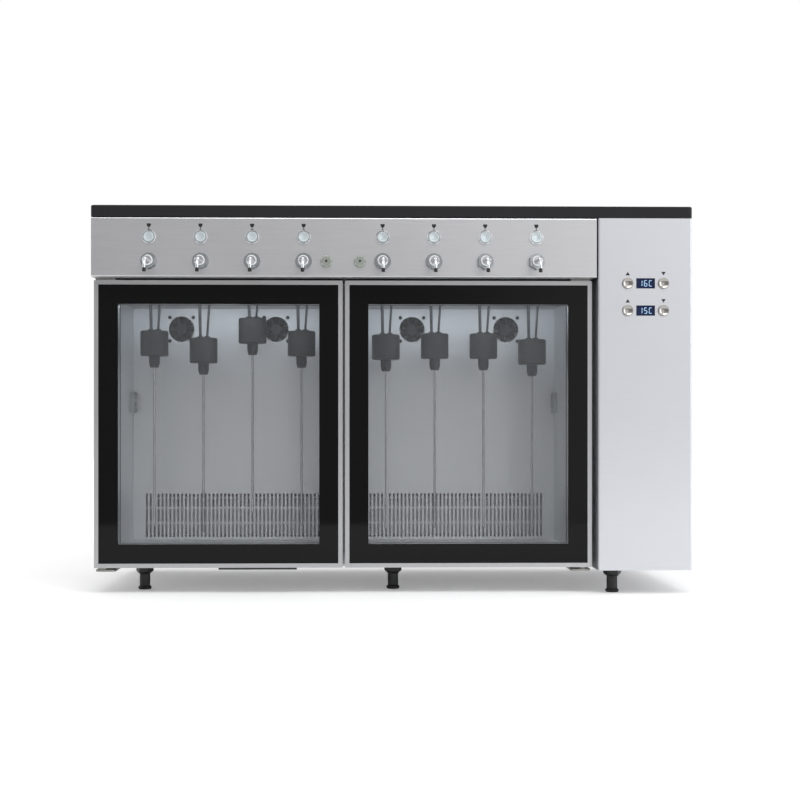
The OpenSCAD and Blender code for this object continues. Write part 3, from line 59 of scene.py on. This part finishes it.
# %% Camera
MM = 0.001
front_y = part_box("tap_panel")[0].y
camera_x, camera_back, camera_z = -66 * MM, 2200 * MM, 274 * MM
camera_turn = math.radians(-1.2)
camera_data = bpy.data.cameras.new("camera")
camera_data.sensor_width = 36
camera_data.lens = 61.52
camera_data.shift_x = 0.0244
camera_data.shift_y = 0.0313
camera = bpy.data.objects.new("camera", camera_data)
bpy.context.scene.collection.objects.link(camera)
camera.location = (camera_x, front_y - camera_back, camera_z)
camera.rotation_euler = (math.radians(90), 0, camera_turn)
bpy.context.scene.camera = camera
bpy.context.scene.view_settings.view_transform = "Standard"
print("camera at", [round(c, 3) for c in camera.location])

# %% [markdown]
# ## Shader nodes as sentences
# A finish is easier to read as an expression than as a list of links. `Wire` stands for one output
# socket, and its operators add Math nodes. `Network` is a node tree, and its `node` method makes
# any node: its settings are set first, then the values or wires of its sockets. `Finish` is the
# network of one material.

# %% Wires and networks
class Wire:
    """One output of a shader node. Sums and products of wires add their own Math nodes."""

    def __init__(self, network, socket):
        self.network = network
        self.socket = socket

    def math(self, operation, *values):
        numbered = dict(enumerate(values))
        return self.network.node("ShaderNodeMath", {"operation": operation}, numbered)

    def __add__(self, other):
        return self.math("ADD", self, other)

    def __mul__(self, other):
        return self.math("MULTIPLY", self, other)

    def __rsub__(self, other):
        return self.math("SUBTRACT", other, self)

    __radd__ = __add__

    def above(self, level):
        """1 where the wire's value is over a level, otherwise 0."""
        return self.math("GREATER_THAN", self, level)

    def within(self, low, high):
        return self.above(low) * (1 - self.above(high))


class Network:
    """A node tree, emptied, with a short way to add nodes."""

    def __init__(self, tree):
        self.tree = tree
        self.tree.nodes.clear()

    def node(self, kind, settings=None, values=None, out=0):
        made = self.tree.nodes.new(kind)
        for name, setting in (settings or {}).items():
            setattr(made, name, setting)
        for key, value in (values or {}).items():
            self.feed(made.inputs[key], value)
        return Wire(self, made.outputs[out])

    def feed(self, socket, value):
        if isinstance(value, Wire):
            self.tree.links.new(value.socket, socket)
        elif socket.type == "RGBA":
            socket.default_value = (*value, 1)
        else:
            socket.default_value = value

    def axes(self, vector):
        """The x, y and z of a vector, as three wires."""
        parts = self.node("ShaderNodeSeparateXYZ", None, {"Vector": vector}).socket.node
        return [Wire(self, parts.outputs[axis]) for axis in "XYZ"]

    def ease(self, value, start, end, first=0.0, last=1.0):
        """Goes smoothly from first to last while the value goes from start up to end."""
        return self.node("ShaderNodeMapRange", {"interpolation_type": "SMOOTHSTEP"},
                         {"Value": value, "From Min": start, "From Max": end,
                          "To Min": first, "To Max": last})


print("wires and networks ready")

# %% [markdown]
# A finish looks up where a point lies on its part. Those coordinates move with the part, so a
# texture stays on an opening door. Noise may be stretched along an axis, which makes scratches.

# %% Finishes
class Finish(Network):
    """One material, made of a Principled shader and the nodes that feed it."""

    def __init__(self, name):
        self.material = bpy.data.materials.new(name)
        self.material.use_nodes = True
        super().__init__(self.material.node_tree)
        self.output = self.tree.nodes.new("ShaderNodeOutputMaterial")

    def place(self):
        return self.node("ShaderNodeTexCoord", out="Object")

    def noise(self, scale, stretch=(1, 1, 1), detail=2.0, rough=0.5):
        stretched = self.node("ShaderNodeVectorMath", {"operation": "MULTIPLY"},
                              {0: self.place(), 1: stretch})
        return self.node("ShaderNodeTexNoise", None,
                         {"Vector": stretched, "Scale": scale,
                          "Detail": detail, "Roughness": rough})

    def blend(self, amount, first, second):
        """Mixes two colours; sockets 6 and 7 and output 2 are the Mix node's colours."""
        return self.node("ShaderNodeMix", {"data_type": "RGBA"},
                         {"Factor": amount, 6: first, 7: second}, out=2)

    def mottle(self):
        """A faint cloudiness, for bright metal."""
        return self.noise(60, detail=4)

    def spread(self, value, low, high):
        """Scales a 0 to 1 wire to a range."""
        return value * (high - low) + low

    def bump(self, height, strength, distance):
        return self.node("ShaderNodeBump", None,
                         {"Strength": strength, "Distance": distance, "Height": height})

    def surface(self, **sockets):
        values = {name.replace("_", " "): value for name, value in sockets.items()}
        shader = self.node("ShaderNodeBsdfPrincipled", None, values)
        self.feed(self.output.inputs["Surface"], shader)
        return self


print("finish helpers ready")

# %% [markdown]
# ## Brushed steel
# The case is stainless sheet with a ground finish: fine scratches that all run one way. They barely
# change the colour, but they smear reflections across the grain. Noise that varies forty times
# faster across the grain than along it gives those lines. It feeds roughness, a slight change of
# shade and a very low bump. A second, broad noise stands for the film of handling on a used panel.
# The tone darkens the steel about twice as much as it lightens it.

# %% Steel
def brushed(name, shade, grain, rough=0.30, contrast=0.06):
    steel = Finish(name)
    across, line_share, darkening = 40, 0.7, 2.2
    stretch = {"x": (1, across, across), "z": (across, across, 1)}[grain]
    lines = steel.noise(scale=22, stretch=stretch, detail=4, rough=0.65)
    film = steel.noise(scale=5, detail=3)
    darker = tuple(c * (1 - darkening * contrast) for c in shade)
    lighter = tuple(min(1, c * (1 + contrast)) for c in shade)
    tone = lines * line_share + film * (1 - line_share)
    return steel.surface(
        Base_Color=steel.blend(tone, darker, lighter),
        Metallic=1.0,
        Roughness=steel.spread(tone, rough - 0.06, rough + 0.10),
        Normal=steel.bump(lines, strength=0.06, distance=0.4 * MM))


finishes = {
    "satin_steel": brushed("case_steel", (0.75, 0.75, 0.77), "x"),
    "liner_steel": brushed("liner_steel", (0.72, 0.74, 0.76), "z", rough=0.45, contrast=0.03),
    "door_frame": brushed("door_profile", (0.60, 0.60, 0.61), "z", rough=0.34),
}
column_steel = brushed("column_steel", (0.77, 0.78, 0.82), "x", rough=0.32, contrast=0.03)
steels = len(finishes)
print("steels:", steels + 1)

# %% [markdown]
# ## The top slab, plastics and rubber
# The slab is a graphite board with a fine powdery grain. Moulded plastic has a faint spark-eroded
# texture, and rubber a softer, duller one. One recipe serves them all: a fine noise for the bump,
# and a broad one that varies the gloss a little, because no moulding is evenly shiny. A trace of
# dust lifts even the blackest shade a little.

# %% Moulded finishes
def moulded(name, shade, rough, grain=900, bump=0.12, mottle=0.25, **sockets):
    skin = Finish(name)
    fine = skin.noise(scale=grain, detail=2)
    broad = skin.noise(scale=18, detail=3)
    dust = 0.004
    lighter = tuple(min(1, c * (1 + mottle) + dust) for c in shade)
    return skin.surface(
        Base_Color=skin.blend(fine * 0.5 + broad * 0.5, shade, lighter),
        Roughness=skin.spread(broad, rough - 0.06, rough + 0.08),
        Normal=skin.bump(fine, strength=bump, distance=0.2 * MM), **sockets)


PRINT_BLACK = (0.003, 0.003, 0.0035)
finishes |= {
    "slab": moulded("graphite_board", (0.008, 0.008, 0.010), 0.55, grain=1400, bump=0.22,
                    Specular_IOR_Level=0.28),
    "black_plastic": moulded("black_moulding", (0.012, 0.012, 0.013), 0.45),
    "valve_plastic": moulded("valve_moulding", (0.06, 0.06, 0.07), 0.50),
    "grey_plastic": moulded("grey_moulding", (0.36, 0.38, 0.39), 0.50),
    "stopper_rubber": moulded("stopper_rubber", (0.010, 0.010, 0.011), 0.50, grain=600),
    "gasket": moulded("gasket_rubber", (0.045, 0.046, 0.050), 0.62, grain=500),
    "hose": moulded("hose", (0.035, 0.037, 0.042), 0.28, bump=0.04),
    "black_foot": moulded("foot_lacquer", (0.008, 0.008, 0.009), 0.38, bump=0.08),
    "black_border": moulded("ceramic_print", PRINT_BLACK, 0.30, bump=0.0, mottle=0.0,
                            Specular_IOR_Level=0.0),
    "dark_screw": moulded("black_oxide", (0.030, 0.028, 0.028), 0.40, Metallic=0.6),
    "black_enamel": moulded("black_enamel", (0.010, 0.010, 0.011), 0.30, bump=0.05),
    "circuit_board": moulded("solder_mask", (0.010, 0.09, 0.04), 0.30, bump=0.0),
    "foam": moulded("foam", (0.72, 0.62, 0.38), 0.85, grain=300, bump=0.5),
}
print("moulded finishes:", len(finishes) - steels)

# %% [markdown]
# ## Bright metal
# Bezels, tubes and buttons are chromed, plated or turned. Bright metal needs little: a high base
# colour and a low roughness, with a faint noise so that no two fittings shine alike. The faces of
# the push-buttons are frosted: a part of their light is diffuse, so they stay pale in a dark
# reflection.

# %% Bright metals
def polished(name, shade, rough, spots=0.04, metallic=1.0):
    metal = Finish(name)
    mottle = metal.mottle()
    dulling, smoothest = 0.88, 0.02
    dull = tuple(c * dulling for c in shade)
    roughness = metal.spread(mottle, max(smoothest, rough - spots), rough + spots)
    return metal.surface(Base_Color=metal.blend(mottle, dull, shade), Metallic=metallic,
                         Roughness=roughness)


finishes |= {
    "chrome": polished("chrome", (0.82, 0.84, 0.86), 0.12),
    "button_steel": polished("turned_steel", (0.84, 0.93, 0.97), 0.20, metallic=0.6),
    "nickel": polished("satin_nickel", (0.58, 0.62, 0.57), 0.28),
    "bright_tube": polished("drawn_tube", (0.52, 0.53, 0.55), 0.22),
    "brass": polished("brass", (0.72, 0.52, 0.22), 0.25),
    "copper": polished("copper", (0.72, 0.36, 0.22), 0.28, spots=0.10),
    "zinc": polished("zinc_plate", (0.36, 0.35, 0.33), 0.36, spots=0.10),
    "fin_aluminium": polished("fin_aluminium", (0.70, 0.71, 0.71), 0.35),
}
set_cap = polished("turned_cap", (0.46, 0.44, 0.42), 0.14)
print("finishes so far:", len(finishes))

# %% [markdown]
# ## Door glass
# A door has two panes. Real refraction would need many light paths, so each pane's front is a thin
# dark film that lets most light through, and a Fresnel term makes it more solid, and so more
# mirror-like, at a slant. Its back lets everything through. The inner pane has a pale, streaky
# veil over it. The outer pane is printed black along its edge: there its front is solid and black,
# so that the print also shows evenly where it touches the glass.

# %% Door glass
pane = Finish("clear_pane")
edge_on = pane.node("ShaderNodeFresnel", None, {"IOR": 1.45})
from_behind = pane.node("ShaderNodeNewGeometry", out="Backfacing")
streaks = pane.noise(scale=3, stretch=(2, 1, 0.4), detail=2)
pane_x, pane_y, pane_z = pane.axes(pane.place())
border_w, outer_pane_d = 31 * MM, 10 * MM
film_alpha, veil_alpha, streak_alpha, slant_alpha = 0.035, 0.04, 0.16, 0.5
pane_boxes = [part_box(f"door_panes_{side}") for side in ("left", "right")]
low, high = pane_boxes[-1]
clear = sum(pane_x.within(a.x + border_w, b.x - border_w) for a, b in pane_boxes)
clear = clear * pane_z.within(low.z + border_w, high.z - border_w)
inner = pane_y.above(low.y + outer_pane_d)
printed = (1 - inner) * (1 - clear)
# A pale, streaky veil over the inner pane.
veil = inner * (streaks * streak_alpha + veil_alpha) + film_alpha
solid = printed.math("MAXIMUM", printed, edge_on * slant_alpha + veil)
film = pane.blend(inner, (0.08, 0.085, 0.09), (0.34, 0.35, 0.37))
pane.surface(Base_Color=pane.blend(printed, film, PRINT_BLACK),
             Roughness=pane.spread(streaks, 0.03, 0.06), Alpha=solid * (1 - from_behind),
             Specular_IOR_Level=0.2)
finishes["glass"] = pane
print("glass for", len(pane_boxes), "doors")

# %% [markdown]
# The lamp strips in the ceilings glow a cool white. The display windows are blue-black and glossy.

# %% Lamps and display windows
lamp = Finish("lamp_strip")
cells = lamp.noise(40, detail=1)
lamp.surface(Base_Color=lamp.blend(cells, (0.86, 0.90, 0.94), (0.95, 0.97, 1.0)),
             Roughness=0.45,
             Emission_Color=lamp.blend(cells, (0.80, 0.90, 1.0), (0.92, 0.97, 1.0)),
             Emission_Strength=6.5)
finishes["lamp"] = lamp

window = Finish("display_window")
depth = window.noise(30, detail=2)
window.surface(Base_Color=window.blend(depth, (0.004, 0.010, 0.045), (0.006, 0.016, 0.070)),
               Roughness=window.spread(depth, 0.10, 0.18), Specular_IOR_Level=0.25)
finishes["display_glass"] = window
print("finishes:", len(finishes))

# %% [markdown]
# A spout is chromed down to a black band at its mouth. Both belong to one solid, so one finish
# covers them: below the band's upper edge it turns from metal to a dull black. The flange and hexagon
# at its root are painted darker than the bright neck: painted shade.

# %% Spouts
spout = Finish("chrome_and_dark_tip")
_, spout_y, spout_z = spout.axes(spout.place())
mouth_z = min(v.co.z for v in nodes["pour_spouts"].data.vertices)
dark_tip_l, root_l = 6 * MM, 16 * MM
# Below this height the spout is black and dull: a dark band at its mouth.
chromed = spout_z.above(mouth_z + dark_tip_l)
# Behind this depth the chrome is painted darker: painted shade on the flange and hexagon.
root = spout_y.above(front_y - root_l)
mottle = spout.mottle()
neck_tone = spout.blend(mottle, (0.72, 0.74, 0.76), (0.84, 0.86, 0.88))
shaded_root_tone = spout.blend(mottle, (0.50, 0.52, 0.54), (0.62, 0.64, 0.66))
metal_tone = spout.blend(root, neck_tone, shaded_root_tone)
chrome_rough, mottle_rough, dark_tip_rough = 0.09, 0.06, 0.35
roughness = mottle * mottle_rough + (1 - chromed) * dark_tip_rough + chrome_rough
spout.surface(Base_Color=spout.blend(chromed, (0.010, 0.010, 0.011), metal_tone),
              Metallic=chromed, Roughness=roughness)
print("sleeve up to", round(mouth_z + dark_tip_l, 4))

# %% [markdown]
# Every part takes the finish of its slot in the record. The column's sheet, the spouts and the four
# set buttons have finishes of their own. A set button's number says which way it moves the setting.

# %% Every part's finish
set_buttons = {"upper_up_button": 1, "upper_down_button": -1,
               "lower_up_button": 1, "lower_down_button": -1}
own_finish = {"control_column": column_steel, "pour_spouts": spout}
own_finish |= dict.fromkeys(set_buttons, set_cap)
for name, node in nodes.items():
    node.data.materials.clear()
    node.data.materials.append(own_finish.get(name, finishes[slot_of[name]]).material)
print("dressed nodes:", len(nodes))

# %% [markdown]
# ## A way to build small flat pieces
# Printed marks, triangles and lit segments are thin shapes that lie on a front face. Each is drawn
# as an outline in X and Z and made thick towards the back, with a real edge, so it reads as ink or
# glass and not as a hole. Several outlines make one mesh.

# %% Flat pieces
def piece(name, mesh, finish, body="root"):
    """Turns a finished mesh into an object that rides on a body."""
    data = bpy.data.meshes.new(name)
    mesh.to_mesh(data)
    mesh.free()
    data.materials.append(finish.material)
    made = bpy.data.objects.new(name, data)
    bpy.context.scene.collection.objects.link(made)
    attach(made, body)
    return made


def plates(name, outlines, y, thick, finish, body="root"):
    """Outlines of (x, z) points, in metres, become thin plates whose front lies at y."""
    mesh = bmesh.new()
    for outline in outlines:
        face = mesh.faces.new([mesh.verts.new((x, y, z)) for x, z in outline])
        made = bmesh.ops.extrude_face_region(mesh, geom=[face])
        moved = [item for item in made["geom"] if isinstance(item, bmesh.types.BMVert)]
        bmesh.ops.translate(mesh, verts=moved, vec=(0, thick, 0))
    bmesh.ops.recalc_face_normals(mesh, faces=mesh.faces)
    return piece(name, mesh, finish, body)


def centre(node):
    low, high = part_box(node)
    return (low + high) / 2


taps = 8
button_xs = [centre(f"dispense_button_{i + 1}").x for i in range(taps)]
button_z = centre("dispense_button_1").z
print("buttons at", [round(x, 4) for x in button_xs])

# %% [markdown]
# ## The marks over the buttons
# A small black wine glass is printed above every push-button. Its outline is a bowl, a stem and a
# foot: the bowl is half an ellipse under a flat rim, so a few points on an arc are enough. The rim
# is drawn in a little, and the stem starts inside the bowl.

# %% Wine glass marks
def bar_outline(x, top, bottom, width):
    right, left = x + width / 2, x - width / 2
    return [(right, top), (right, bottom), (left, bottom), (left, top)]


def glass_mark(x, z):
    """Bowl, stem and foot of a mark whose rim is centred on (x, z)."""
    bowl_r, bowl_h = 3.6 * MM, 6.2 * MM
    stem_w, stem_h, foot_w, foot_t = (v * MM for v in (0.9, 3.0, 4.6, 0.8))
    steps, rim, overlap = 12, 0.86, 0.3 * MM
    bowl = [(x + bowl_r * math.cos(math.pi * k / steps) * (rim if k in (0, steps) else 1),
             z - bowl_h * math.sin(math.pi * k / steps)) for k in range(steps + 1)]
    low = z - bowl_h
    stem = bar_outline(x, low + overlap, low - stem_h, stem_w)
    foot = bar_outline(x, low - stem_h, low - stem_h - foot_t, foot_w)
    return [bowl, stem, foot]


ink = moulded("black_ink", (0.006, 0.006, 0.007), 0.45, bump=0.0)
ink_t = 0.12 * MM
mark_rise = 21.5 * MM
marks = [outline for x in button_xs for outline in glass_mark(x, button_z + mark_rise)]
plates("glass_marks", marks, front_y - ink_t, ink_t, ink)
print("printed outlines:", len(marks))

# %% [markdown]
# ## The temperature controls
# Over each set button is a small printed triangle: it points up on the left and down on the right.

# %% Triangles
def triangle(x, z, half_w, way):
    """Points up where way is 1, down where it is -1; a little less high than it is wide."""
    half_h = way * half_w * 0.8
    return [(x - half_w, z - half_h), (x + half_w, z - half_h), (x, z + half_h)]


triangle_half, triangle_gap = 3.6 * MM, 5.5 * MM
triangles = [triangle(centre(button).x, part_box(button)[1].z + triangle_gap, triangle_half, way)
             for button, way in set_buttons.items()]
plates("set_marks", triangles, front_y - ink_t, ink_t, ink)
print("triangles:", len(triangles))

# %% [markdown]
# Each display shows three lit characters on its dark window. A seven-segment character is drawn
# from one table of which bars are lit: a is the top one, b and c are on the right, d is the foot,
# e and f are on the left, and g is in the middle. Each bar is a long hexagon. It leans to the
# right by the slant, and it is shortened at both ends by a share of its width.

# %% Lit characters
LIT = {"1": "bc", "6": "acdefg", "5": "acdfg", "C": "adef"}
SLANT, GAP_SHARE = 0.12, 0.12


def hexagon(x, z, reach, half_bar, along_x):
    """A bar with pointed ends round (x, z)."""
    points = [(reach, 0), (reach - half_bar, half_bar), (-reach + half_bar, half_bar),
              (-reach, 0), (-reach + half_bar, -half_bar), (reach - half_bar, -half_bar)]
    if along_x:
        return [(x + u + v * SLANT, z + v) for u, v in points]
    return [(x + v + u * SLANT, z + u) for u, v in points]


def character(sign, x, z, wide, tall, bar):
    half, gap = tall / 2, bar * GAP_SHARE
    flat = {"a": half, "g": 0, "d": -half}
    upright = {"b": (wide / 2, half / 2), "c": (wide / 2, -half / 2),
               "e": (-wide / 2, -half / 2), "f": (-wide / 2, half / 2)}
    bars = []
    for letter in LIT[sign]:
        if letter in flat:
            bars.append(hexagon(x, z + flat[letter], wide / 2 - gap, bar / 2, along_x=True))
        else:
            dx, dz = upright[letter]
            bars.append(hexagon(x + dx, z + dz, half / 2 - gap, bar / 2, along_x=False))
    return bars


glow = Finish("lit_segment")
even = glow.noise(200, detail=1)
glow.surface(Base_Color=glow.blend(even, (0.18, 0.32, 0.50), (0.24, 0.40, 0.60)), Roughness=0.3,
             Emission_Color=glow.blend(even, (0.45, 0.72, 1.0), (0.60, 0.82, 1.0)),
             Emission_Strength=0.65)

low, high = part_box("displays")
display_x = (low.x + high.x) / 2
char_w, char_h, bar_w, char_step, window_recess = (v * MM for v in (4.2, 9.0, 1.0, 8.0, 0.2))
window_y = front_y + window_recess
for label, text in (("upper", "16C"), ("lower", "15C")):
    z = centre(f"{label}_up_button").z
    bars = [bar for k, sign in enumerate(text)
            for bar in character(sign, display_x + (k - 1) * char_step, z, char_w, char_h, bar_w)]
    plates(f"{label}_reading", bars, window_y - ink_t, ink_t * 2, glow)
    print(label, "display:", text, "with", len(bars), "bars")

# %% [markdown]
# ## Painted shade under the left door
# A black strip over the finger lip under the left door is painted shade: it stands for the dark
# line under the door there. It rides on the door. Its section is the lip's, a little larger, with the
# corners cut.

# %% Lip shade strip
door_low, door_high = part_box("door_frame_left")
lip_drop, lip_depth, lip_from_edge, lip_w = (v * MM for v in (2.4, 14, 75, 126))
shade_strip_t, cut = 0.5 * MM, 0.6 * MM
lip_right = door_high.x - lip_from_edge
x0, x1 = lip_right - lip_w - shade_strip_t, lip_right + shade_strip_t
z0, z1 = door_low.z - shade_strip_t, door_low.z + lip_drop
outline = [(x0 + cut, z0), (x1 - cut, z0), (x1, z0 + cut), (x1, z1), (x0, z1), (x0, z0 + cut)]
# The black strip paints the shade under the left door's lip.
plates("lip_shade_strip", [outline], door_low.y - shade_strip_t, lip_depth + 2 * shade_strip_t,
       finishes["black_plastic"], "door_left")
print("grip from", round(lip_right - lip_w, 4), "to", round(lip_right, 4))

# %% [markdown]
# ## Screws on the back
# The rear panel is held by pan-head screws round its edge. A head is a short lathe shape: a profile
# of a few points spun round its axis, with a hollow in the middle. Twelve copies are joined into
# one piece, because they are all the same fastener.

# %% Pan-head screws
def pan_head(mesh, spot, turn, radius, height):
    """The profile's points are shares of the radius and of the height, from the axis outwards."""
    profile = [(0, 0.35), (0.42, 0.35), (0.46, 1), (0.72, 0.88), (0.95, 0.45), (1, 0)]
    steps = 24
    rings = []
    for out, up in profile:
        r, h = out * radius, up * height
        angles = [2 * math.pi * k / steps for k in range(steps if out else 1)]
        rings.append([mesh.verts.new(spot + turn @ Vector((r * math.cos(a), r * math.sin(a), h)))
                      for a in angles])
    for inside, outside in zip(rings, rings[1:]):
        for k in range(steps):
            j = (k + 1) % steps
            far = [outside[k], outside[j]]
            mesh.faces.new([inside[0], *far] if len(inside) == 1 else [inside[k], *far, inside[j]])
    mesh.faces.new(list(reversed(rings[-1])))


back_low, back_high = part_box("rear_panel")
edge, gaps = 9 * MM, 4
head_r, head_h = 3.6 * MM, 2.0 * MM
span = back_high.x - back_low.x - 2 * edge
back_spots = [Vector((back_low.x + edge + span * k / gaps, back_high.y, z))
              for k in range(gaps + 1) for z in (back_low.z + edge, back_high.z - edge)]
back_spots += [Vector((x, back_high.y, (back_low.z + back_high.z) / 2))
               for x in (back_low.x + edge, back_high.x - edge)]
to_back = Matrix.Rotation(math.radians(-90), 3, "X")
screw_mesh = bmesh.new()
for spot in back_spots:
    pan_head(screw_mesh, spot, to_back, head_r, head_h)
bmesh.ops.recalc_face_normals(screw_mesh, faces=screw_mesh.faces)
screws = piece("rear_screws", screw_mesh, finishes["zinc"])
for face in screws.data.polygons:
    face.use_smooth = True
print("rear screws:", len(back_spots))

# %% [markdown]
# ## The studio
# The machine stands on a white floor that runs into a white world, so that only its own soft shadow
# shows. The floor glows a little, for the camera alone and more with distance, which hides its far
# edge. Its near edge lies in front of the camera, but below the picture.

# %% Floor
floor_side, floor_front, floor_back, floor_gap = 9.0, -1.7, 9.0, 0.4 * MM
floor_mesh = bmesh.new()
floor_mesh.faces.new([floor_mesh.verts.new((x, y, 0)) for x, y in
                      ((-floor_side, floor_front), (floor_side, floor_front),
                       (floor_side, floor_back), (-floor_side, floor_back))])
floor_data = bpy.data.meshes.new("floor")
floor_mesh.to_mesh(floor_data)
floor_mesh.free()
floor = bpy.data.objects.new("floor", floor_data)
floor.location = (0, 0, -floor_gap)
bpy.context.scene.collection.objects.link(floor)

white = Finish("floor_white")
paper = white.noise(2, detail=2)
to_camera = white.node("ShaderNodeLightPath", out="Is Camera Ray")
distance = white.node("ShaderNodeVectorMath", {"operation": "LENGTH"}, {0: white.place()},
                      out="Value")
away = white.ease(distance, start=0.6, end=1.6, first=0.22, last=0.42)
white.surface(Base_Color=white.blend(paper, (0.94, 0.94, 0.94), (0.96, 0.96, 0.96)),
              Roughness=0.9,
              Emission_Color=white.blend(to_camera * away, (0, 0, 0), (1, 1, 1)),
              Emission_Strength=1.0)
floor_data.materials.append(white.material)
print("floor from y", floor_front, "to", floor_back)

# %% [markdown]
# To the camera the world is plain white. Metal and glass mirror it as well, but no real room is
# evenly bright: in front, to the left and to the far right, and below the horizon, the world is
# darker. Each `ease` is one soft edge of that darkness, along an axis of the direction that is
# looked in. Chrome needs the contrast, and it gives the tap panel its slow gradient.

# %% World
world = bpy.data.worlds.new("studio")
bpy.context.scene.world = world
world.use_nodes = True
sky = Network(world.node_tree)
camera_ray, glossy_ray, through_ray = [sky.node("ShaderNodeLightPath", out=name) for name in
                                       ("Is Camera Ray", "Is Glossy Ray", "Is Transmission Ray")]
to_x, to_y, to_z = sky.axes(sky.node("ShaderNodeTexCoord", out="Generated"))
left_room = sky.ease(to_x, 0.02, 0.22, first=1.0, last=0.0)
right_room = sky.ease(to_x, 0.45, 0.75)
in_front = sky.ease(to_y, -0.8, -0.2, first=1.0, last=0.0)
not_high = sky.ease(to_z, 0.25, 0.75, first=1.0, last=0.0)
under_table = sky.ease(to_z, -0.16, -0.02, first=1.0, last=0.0)
room = in_front * not_high * (left_room + right_room)
room = room.math("MAXIMUM", room, under_table)
room_dark, ambient = 0.62, 0.75
mirrored = glossy_ray.math("MAXIMUM", glossy_ray, through_ray)
level = (1 - room * room_dark) * (mirrored * (1 - ambient) + ambient)
strength = camera_ray + (1 - camera_ray) * level
backdrop = sky.node("ShaderNodeBackground", None, {"Color": (1, 1, 1), "Strength": strength})
sky.feed(sky.tree.nodes.new("ShaderNodeOutputWorld").inputs["Surface"], backdrop)
print("world nodes:", len(sky.tree.nodes))

# %% [markdown]
# A large soft panel above and in front lights the front, and a cooler one from the right brightens
# the column.

# %% Lights
def soft_panel(name, place, target, size, watts, tint):
    data = bpy.data.lights.new(name, "AREA")
    data.shape = "RECTANGLE"
    data.size, data.size_y = size
    data.energy = watts
    data.color = tint
    panel = bpy.data.objects.new(name, data)
    panel.location = place
    panel.rotation_euler = (Vector(target) - Vector(place)).to_track_quat("-Z", "Y").to_euler()
    bpy.context.scene.collection.objects.link(panel)


soft_panel("key", place=(0.3, -1.8, 2.6), target=(0, 0, 0.3), size=(2.4, 1.2), watts=33,
           tint=(1, 1, 1))
soft_panel("right", place=(2.4, -1.6, 1.0), target=(0.4, 0, 0.3), size=(1.0, 1.8), watts=12,
           tint=(0.93, 0.97, 1.0))

# %% Import
import json
